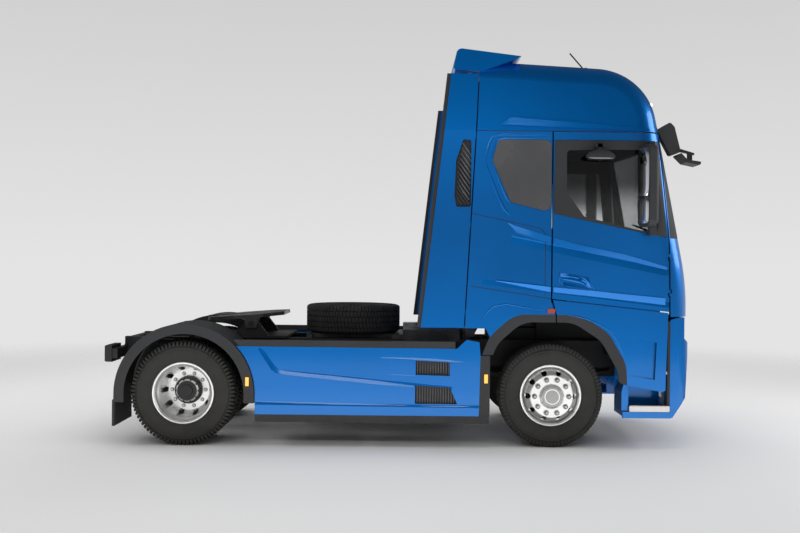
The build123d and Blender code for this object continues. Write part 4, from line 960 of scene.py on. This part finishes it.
# Height of a blade over the sill and how much it rises along its span
WIPER_LIFT = 0.06
WIPER_RISE = 0.09
LAMP_SPOTS = (-0.965, -0.81, 0.81, 0.965)
LAMP_Z = 0.695
MARKER_SPOTS = (-0.98, 0.98)
MARKER_Z = 3.4
MARKER_HALF = (0.022, 0.045, 0.018)
LAMP_RING = ((-0.01, 0.04), (0.004, 0.042), (0.007, 0.05), (0.007, 0.056), (-0.01, 0.06))


class TRACTOR_OT_front_fittings(bpy.types.Operator):
    """Make the wipers, the rings of the headlamps and the roof markers"""

    bl_idname = "tractor.front_fittings"
    bl_label = "Wipers, lamp rings and markers"

    def execute(self, context):
        wipers, rings, markers = bmesh.new(), bmesh.new(), bmesh.new()
        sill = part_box("windscreen")[0][2]
        off_glass = Vector((0.012, 0, 0))
        for y in WIPER_FEET:
            blade = []
            for step in range(9):
                share = step / 8
                start = (AHEAD, y + WIPER_SPAN * share, sill + WIPER_LIFT + WIPER_RISE * share)
                blade.append(reach("windscreen", start, BACKWARD) + off_glass)
            for one, two in zip(blade, blade[1:]):
                self.bar(wipers, one, two, 0.009)
            self.bar(wipers, blade[0] + Vector((0.004, 0.1, -0.075)), blade[3] + off_glass, 0.012)
        put("Wipers", wipers, "cab", "dark_trim", 30)
        for y in LAMP_SPOTS:
            first = len(rings.verts)
            lathe(rings, LAMP_RING, 48)
            drum(rings, 0.0, 0.03, -0.01, 0.004, steps=36, top=0.016)
            face = reach("headlamps", (AHEAD, y, LAMP_Z), BACKWARD)
            turn = Matrix.Translation(face) @ Matrix.Rotation(math.radians(-90), 4, "Z")
            bmesh.ops.transform(rings, matrix=turn, verts=rings.verts[first:])
        put("Lamp rings", rings, "chassis", "chrome", 40, "clear_lamp")
        for y in MARKER_SPOTS:
            spot = reach("cab_roof", (AHEAD, y, MARKER_Z), BACKWARD)
            at = Matrix.Translation(spot) @ Matrix.Diagonal((*MARKER_HALF, 1.0))
            bmesh.ops.create_uvsphere(markers, u_segments=24, v_segments=12, radius=1.0, matrix=at)
        put("Roof markers", markers, "cab", "marker", 60, "clear_lamp")
        return {"FINISHED"}

    def bar(self, bm, one, two, half):
        """Square bar between two points."""
        across = (two - one).cross(Vector(FORWARD)).normalized() * half
        out = Vector(FORWARD) * half
        corners = (across - out, across + out, -across + out, -across - out)
        skin(bm, [row(bm, [spot + corner for corner in corners]) for spot in (one, two)])


# First rib of the rear wall: its sides, lower and upper end, and how far it stands out and reaches in
RIB_SIDES = (-0.73, -0.67)
RIB_ENDS = (1.6, 3.0)
RIB_OUT = 0.012
RIB_IN = 0.01
SLAT_LINE = ((0.583, 2.565), (0.635, 2.49), (0.684, 2.42))
SLAT_BEAD = dict(width=0.016, rise=0.006)
SLAT_SUNK = 0.004
LAMP_SHELL = 0.004


class TRACTOR_OT_rear_fittings(bpy.types.Operator):
    """Make the ribs of the cab's rear wall, the slats of the side vents and the shells of the tail lamps"""

    bl_idname = "tractor.rear_fittings"
    bl_label = "Rear wall, vents and lamp shells"

    def execute(self, context):
        rib, shells = bmesh.new(), bmesh.new()
        middle = sum(RIB_SIDES) / 2
        foot, top = (reach("cab_rear_wall", (BEHIND, middle, z), FORWARD) for z in RIB_ENDS)
        corners = ((foot.x - RIB_OUT, foot.z), (foot.x + RIB_IN, foot.z), (top.x + RIB_IN, top.z),
                   (top.x - RIB_OUT, top.z))
        skin(rib, [row(rib, [(x, y, z) for x, z in corners]) for y in RIB_SIDES])
        repeat("Rear wall ribs", rib, ROW, {"Count": 6, "Offset": (0.0, 0.28, 0.0)}, "cab", "body_paint")
        for side in SIDES:
            slat = bmesh.new()
            bead(slat, SLAT_LINE, CAB_SIDE - SLAT_SUNK, side, **SLAT_BEAD)
            slats = {"Count": 9, "Offset": (0.0035, 0.0, 0.052)}
            repeat(f"Vent slats {side}", slat, ROW, slats, "cab", "slat", 50, "dark_trim")
        low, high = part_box("tail_lamps")
        for side in SIDES:
            side_block(shells, side, (low[0], high[1] - BEDDED, low[2] - LAMP_SHELL),
                       (high[0], high[1] + LAMP_SHELL, high[2] + LAMP_SHELL))
        put("Lamp shells", shells, "chassis", "dark_trim")
        return {"FINISHED"}


# Seal behind a side deflector: its outline (x, z) and how far it leans in for each metre of height
SEAL_OUTLINE = ((0.64, 1.19), (0.685, 1.19), (0.80, 3.58), (0.755, 3.58))
SEAL_LEAN = 0.02
SEAL_SIDES = (1.16, 1.215)
GEARBOX_COVER = ((0.98, -0.3, 0.86), (1.66, 0.3, 1.16))
# Flange of a rear fender: section as (radius, y)
FLANGE = ((0.585, 0.545), (0.676, 0.545), (0.676, 0.551), (0.585, 0.551))


class TRACTOR_OT_seals(bpy.types.Operator):
    """Make the deflector seals, the inner flanges of the rear fenders and the gearbox cover"""

    bl_idname = "tractor.seals"
    bl_label = "Seals, flanges and cover"

    def execute(self, context):
        seal, flange, cover = bmesh.new(), bmesh.new(), bmesh.new()
        foot = SEAL_OUTLINE[0][1]
        for side in SIDES:
            skin(seal, [
                row(seal, [(x, side * (y - SEAL_LEAN * (z - foot)), z) for x, z in SEAL_OUTLINE])
                for y in SEAL_SIDES
            ])
            rows = []
            for step in range(37):
                angle = math.radians(5 * step)
                across, up = math.cos(angle), math.sin(angle)
                spots = [(REAR_AXLE_X + r * across, side * y, AXLE_Z + r * up) for r, y in FLANGE]
                rows.append(row(flange, spots))
            skin(flange, rows)
        put("Deflector seals", seal, "cab", "seal", slot="dark_trim")
        put("Fender flanges", flange, "chassis", "dark_trim")
        block(cover, *GEARBOX_COVER, bevel=0.04, segments=3)
        put("Gearbox cover", cover, "chassis", "dark_trim", 40)
        return {"FINISHED"}


# Bars of the two skirt vents: how many, and their lower and upper ends
VENT_BARS = ((13, 0.69, 0.865), (16, 0.415, 0.62))
BAR_X = 0.195
BAR_WIDTH = 0.009
BAR_DEPTH = 0.012
BAR_PITCH = 0.0255
BAR_SUNK = 0.031
# Plate behind the vents: lower rear and upper front corner (x, z), and how deep its two faces lie
VENT_BACK = ((0.13, 0.34), (0.66, 0.92))
BACK_SUNK = (0.075, 0.07)
CATWALK_RIB = {"x": 0.075, "width": 0.01, "half": 0.69, "rise": 0.009, "pitch": 0.02, "count": 28}


class TRACTOR_OT_bars(bpy.types.Operator):
    """Make the bars and backs of the skirt vents and the ribs of the catwalk"""

    bl_idname = "tractor.bars"
    bl_label = "Bars and ribs"

    def execute(self, context):
        backs, rib = bmesh.new(), bmesh.new()
        y = SKIRT_SIDE - BAR_SUNK
        (rear, foot), (front, top) = VENT_BACK
        inner, outer = (SKIRT_SIDE - sunk for sunk in BACK_SUNK)
        for side in SIDES:
            for number, (count, low, high) in enumerate(VENT_BARS):
                bar = bmesh.new()
                side_block(bar, side, (BAR_X, y, low), (BAR_X + BAR_WIDTH, y - BAR_DEPTH, high))
                bars = {"Count": count, "Offset": (BAR_PITCH, 0.0, 0.0)}
                repeat(f"Vent bars {side} {number}", bar, ROW, bars, "chassis", "slat", slot="dark_trim")
            side_block(backs, side, (rear, inner, foot), (front, outer, top))
        put("Vent backs", backs, "chassis", "chassis")
        x, half, rise = CATWALK_RIB["x"], CATWALK_RIB["half"], CATWALK_RIB["rise"]
        block(rib, (x, -half, DECK_TOP - BEDDED), (x + CATWALK_RIB["width"], half, DECK_TOP + rise))
        ribs = {"Count": CATWALK_RIB["count"], "Offset": (CATWALK_RIB["pitch"], 0.0, 0.0)}
        repeat("Catwalk ribs", rib, ROW, ribs, "chassis", "steel")
        return {"FINISHED"}


CROWN = 0.025


def cushion(low, high, lean=0.0):
    """Stuffed closed form: its wide faces are crowned and its sides draw in between the corners."""
    bm = bmesh.new()
    block(bm, low, high)
    middle = (Vector(low) + Vector(high)) / 2
    half = (Vector(high) - Vector(low)) / 2
    thin = min(range(3), key=lambda axis: half[axis])
    flat = [axis for axis in range(3) if axis != thin]
    bmesh.ops.subdivide_edges(bm, edges=bm.edges[:], cuts=11, use_grid_fill=True)
    for vert in bm.verts:
        share = [(vert.co[axis] - middle[axis]) / half[axis] for axis in range(3)]
        swell = (1 - share[flat[0]] ** 4) * (1 - share[flat[1]] ** 4)
        place = Vector((0.0, 0.0, 0.0))
        place[thin] = share[thin] * (half[thin] - CROWN + CROWN * swell)
        for axis, other in (flat, reversed(flat)):
            drawn = 1 - 0.025 * (1 - share[other] ** 2) * abs(share[axis])
            rounded = 1 - 0.5 * (half[thin] / half[axis]) * share[thin] ** 4 * abs(share[axis]) ** 3
            place[axis] = share[axis] * half[axis] * drawn * rounded
        vert.co = middle + place
        vert.co.x -= lean * (vert.co.z - low[2])
    return bm


CHAIR_Y = 0.6
CHAIR_REAR = 1.5
# Front, half width, foot and top of a chair's pad, back and base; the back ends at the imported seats' top
PAD = {"front": 2.06, "half": 0.26, "foot": 1.69, "top": 1.83}
BACK = {"front": 1.64, "half": 0.25, "foot": 1.8, "lean": 0.19}
BASE = {"rear": 1.56, "front": 1.98, "half": 0.15, "top": 1.7}
BUNK_FRONT = 1.335
MATTRESS = (1.76, 1.9)
BUNK_BASE_TOP = 1.765


class TRACTOR_OT_seats(bpy.types.Operator):
    """Make the padded seats and the bunk"""

    bl_idname = "tractor.seats"
    bl_label = "Seats and bunk"

    def execute(self, context):
        low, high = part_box("seats")
        for hand, y in (("right", -CHAIR_Y), ("left", CHAIR_Y)):
            half = PAD["half"]
            pad = cushion((CHAIR_REAR, y - half, PAD["foot"]), (PAD["front"], y + half, PAD["top"]))
            put("Chair cushion " + hand, pad, "cab", "fabric", 60)
            half, top = BACK["half"], high[2] - 0.01
            back = cushion((CHAIR_REAR, y - half, BACK["foot"]), (BACK["front"], y + half, top), BACK["lean"])
            put("Chair back " + hand, back, "cab", "fabric", 60)
            half, base = BASE["half"], bmesh.new()
            block(base, (BASE["rear"], y - half, low[2]), (BASE["front"], y + half, BASE["top"]), bevel=0.02)
            put("Chair base " + hand, base, "cab", "inner_plastic", 40)
        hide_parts("seats")
        rear, right, left = low[0] + 0.005, low[1] + 0.01, high[1] - 0.01
        foot, top = MATTRESS
        mattress = cushion((rear, right, foot), (BUNK_FRONT, left, top))
        put("Bunk mattress", mattress, "cab", "fabric", 60)
        base = bmesh.new()
        block(base, (rear, right, low[2]), (BUNK_FRONT, left, BUNK_BASE_TOP), bevel=0.015)
        put("Bunk base", base, "cab", "inner_plastic", 40)
        return {"FINISHED"}


FLOOR_RADIUS = 60.0
FLOOR_FADE = (5.0, 14.0)
# Each lamp: name, place, aim, size, watts, and whether it shows in gloss
LAMPS = (
    ("Top softbox", (-0.5, -0.5, 8.0), (0.0, 0.0, 0.0), (10.0, 4.0), 130.0, False),
    ("Near floor glow", (0.3, -3.5, 0.02), (0.3, -3.5, 5.0), (14.0, 3.0), 215.0, True),
    ("Middle floor glow", (0.3, -7.3, 0.02), (0.3, -7.3, 5.0), (14.0, 4.6), 200.0, True),
    ("Far floor glow", (0.3, 6.6, 0.02), (0.3, 6.6, 5.0), (13.0, 4.0), 150.0, True),
    ("Side softbox", (-1.0, -9.5, 5.8), (0.0, 0.0, 1.0), (8.0, 0.8), 125.0, True),
    ("Rear softbox", (-8.5, 1.0, 4.5), (0.0, 0.0, 1.5), (4.0, 4.0), 110.0, False),
    ("Front softbox", (9.0, -1.0, 4.5), (2.0, 0.0, 1.8), (4.0, 4.0), 230.0, True),
    ("Far softbox", (0.0, 9.0, 5.5), (0.0, 0.0, 1.5), (7.0, 3.0), 260.0, False),
)


class TRACTOR_OT_stage(bpy.types.Operator):
    """Make the floor, lights, world and camera"""

    bl_idname = "tractor.stage"
    bl_label = "Stage"

    def execute(self, context):
        scene = context.scene
        scene.view_settings.view_transform = "Standard"
        setting = sizes()
        camera = add_object("Camera", bpy.data.cameras.new("Camera"))
        camera.data.lens = setting.lens
        camera.data.sensor_width = 36.0
        camera.location = (setting.camera_side, -setting.camera_distance, setting.camera_height)
        turn = Matrix.Rotation(math.radians(90), 3, "X") @ Matrix.Rotation(setting.camera_roll, 3, "Z")
        camera.rotation_euler = turn.to_euler()
        scene.camera = camera

        bm = bmesh.new()
        bmesh.ops.create_circle(bm, cap_ends=True, segments=96, radius=FLOOR_RADIUS)
        mesh = bpy.data.meshes.new("Floor")
        bm.to_mesh(mesh)
        bm.free()
        mesh.materials.append(self.floor_finish())
        add_object("Floor", mesh)

        self.studio(scene)
        for name, spot, aim, size, power, glossy in LAMPS:
            lamp = add_object(name, bpy.data.lights.new(name, "AREA"))
            lamp.data.shape = "RECTANGLE"
            lamp.data.size, lamp.data.size_y = size
            lamp.data.energy = power
            lamp.location = spot
            lamp.rotation_euler = (Vector(aim) - Vector(spot)).to_track_quat("-Z", "Y").to_euler()
            lamp.visible_camera = False
            lamp.visible_glossy = glossy
        return {"FINISHED"}

    def studio(self, scene):
        """Pale backdrop that the camera, glass and metal see, dark on the lamp side, over soft light."""
        world = bpy.data.worlds.new("Studio")
        scene.world = world
        world.use_nodes = True
        tree = world.node_tree
        light = feed(tree, tree.nodes["Background"], {"Color": (0.945, 0.94, 0.935, 1.0), "Strength": 0.4})
        heading = add_node(tree, "ShaderNodeTexCoord").outputs["Generated"]
        split = add_node(tree, "ShaderNodeSeparateXYZ", {0: heading}).outputs
        shade = map_range(tree, split["Z"], 0.0, 0.28, 0.775, 0.62)
        depth = map_range(tree, split["Y"], -0.5, 0.5, 0.34, 1.0, smooth=True)
        above = map_range(tree, split["Z"], 0.0, 0.35, 1.0, 0.12, smooth=True)
        seen = add_node(tree, "ShaderNodeBackground", {"Color": shade, "Strength": 1.0})
        strength = maths(tree, "MULTIPLY", depth, above)
        mirrored = add_node(tree, "ShaderNodeBackground", {"Color": shade, "Strength": strength})
        path = add_node(tree, "ShaderNodeLightPath").outputs
        direct = maths(tree, "MAXIMUM", path["Is Camera Ray"], path["Is Transmission Ray"])
        bounced = mix_shader(tree, path["Is Glossy Ray"], light.outputs[0], mirrored.outputs[0])
        surface = mix_shader(tree, direct, bounced, seen.outputs[0])
        feed(tree, tree.nodes["World Output"], {"Surface": surface})

    def floor_finish(self):
        """Pale floor that fades into the backdrop with distance."""
        material = bpy.data.materials.new("Studio floor")
        material.use_nodes = True
        tree = material.node_tree
        camera_ray = add_node(tree, "ShaderNodeLightPath").outputs["Is Camera Ray"]
        shown = mix_colour(tree, camera_ray, (0.6, 0.6, 0.6, 1.0), (*colours().floor, 1.0))
        shader = tree.nodes["Principled BSDF"]
        feed(tree, shader, {"Base Color": shown, "Roughness": 0.8, "Specular IOR Level": 0.1})
        place = add_node(tree, "ShaderNodeTexCoord").outputs["Object"]
        away = vector_maths(tree, "LENGTH", {0: place})["Value"]
        fade = map_range(tree, away, *FLOOR_FADE, smooth=True)
        clear = add_node(tree, "ShaderNodeBsdfTransparent").outputs[0]
        surface = mix_shader(tree, fade, shader.outputs[0], clear)
        feed(tree, tree.nodes["Material Output"], {"Surface": surface})
        return material


class TRACTOR_PT_panel(bpy.types.Panel):
    """Sidebar panel with every step"""

    bl_idname = "TRACTOR_PT_panel"
    bl_label = "Tractor unit"
    bl_space_type = "VIEW_3D"
    bl_region_type = "UI"
    bl_category = "Tractor"

    def draw(self, context):
        for step in STEPS:
            self.layout.operator(step.bl_idname)


STEPS = (
    TRACTOR_OT_finishes,
    TRACTOR_OT_tyres,
    TRACTOR_OT_wheel_fittings,
    TRACTOR_OT_mirrors,
    TRACTOR_OT_seams,
    TRACTOR_OT_relief,
    TRACTOR_OT_handles,
    TRACTOR_OT_kerb_mirrors,
    TRACTOR_OT_step_noses,
    TRACTOR_OT_front_fittings,
    TRACTOR_OT_rear_fittings,
    TRACTOR_OT_seals,
    TRACTOR_OT_bars,
    TRACTOR_OT_seats,
    TRACTOR_OT_stage,
)
CLASSES = (TractorSizes, TractorColours, *STEPS, TRACTOR_PT_panel)


def register():
    for cls in CLASSES:
        bpy.utils.register_class(cls)
    bpy.types.Scene.tractor_sizes = bpy.props.PointerProperty(type=TractorSizes)
    bpy.types.Scene.tractor_colours = bpy.props.PointerProperty(type=TractorColours)


def unregister():
    del bpy.types.Scene.tractor_colours
    del bpy.types.Scene.tractor_sizes
    for cls in reversed(CLASSES):
        bpy.utils.unregister_class(cls)


def main():
    register()
    for step in STEPS:
        space, call = step.bl_idname.split(".")
        getattr(getattr(bpy.ops, space), call)()


if __name__ == "__main__":
    main()
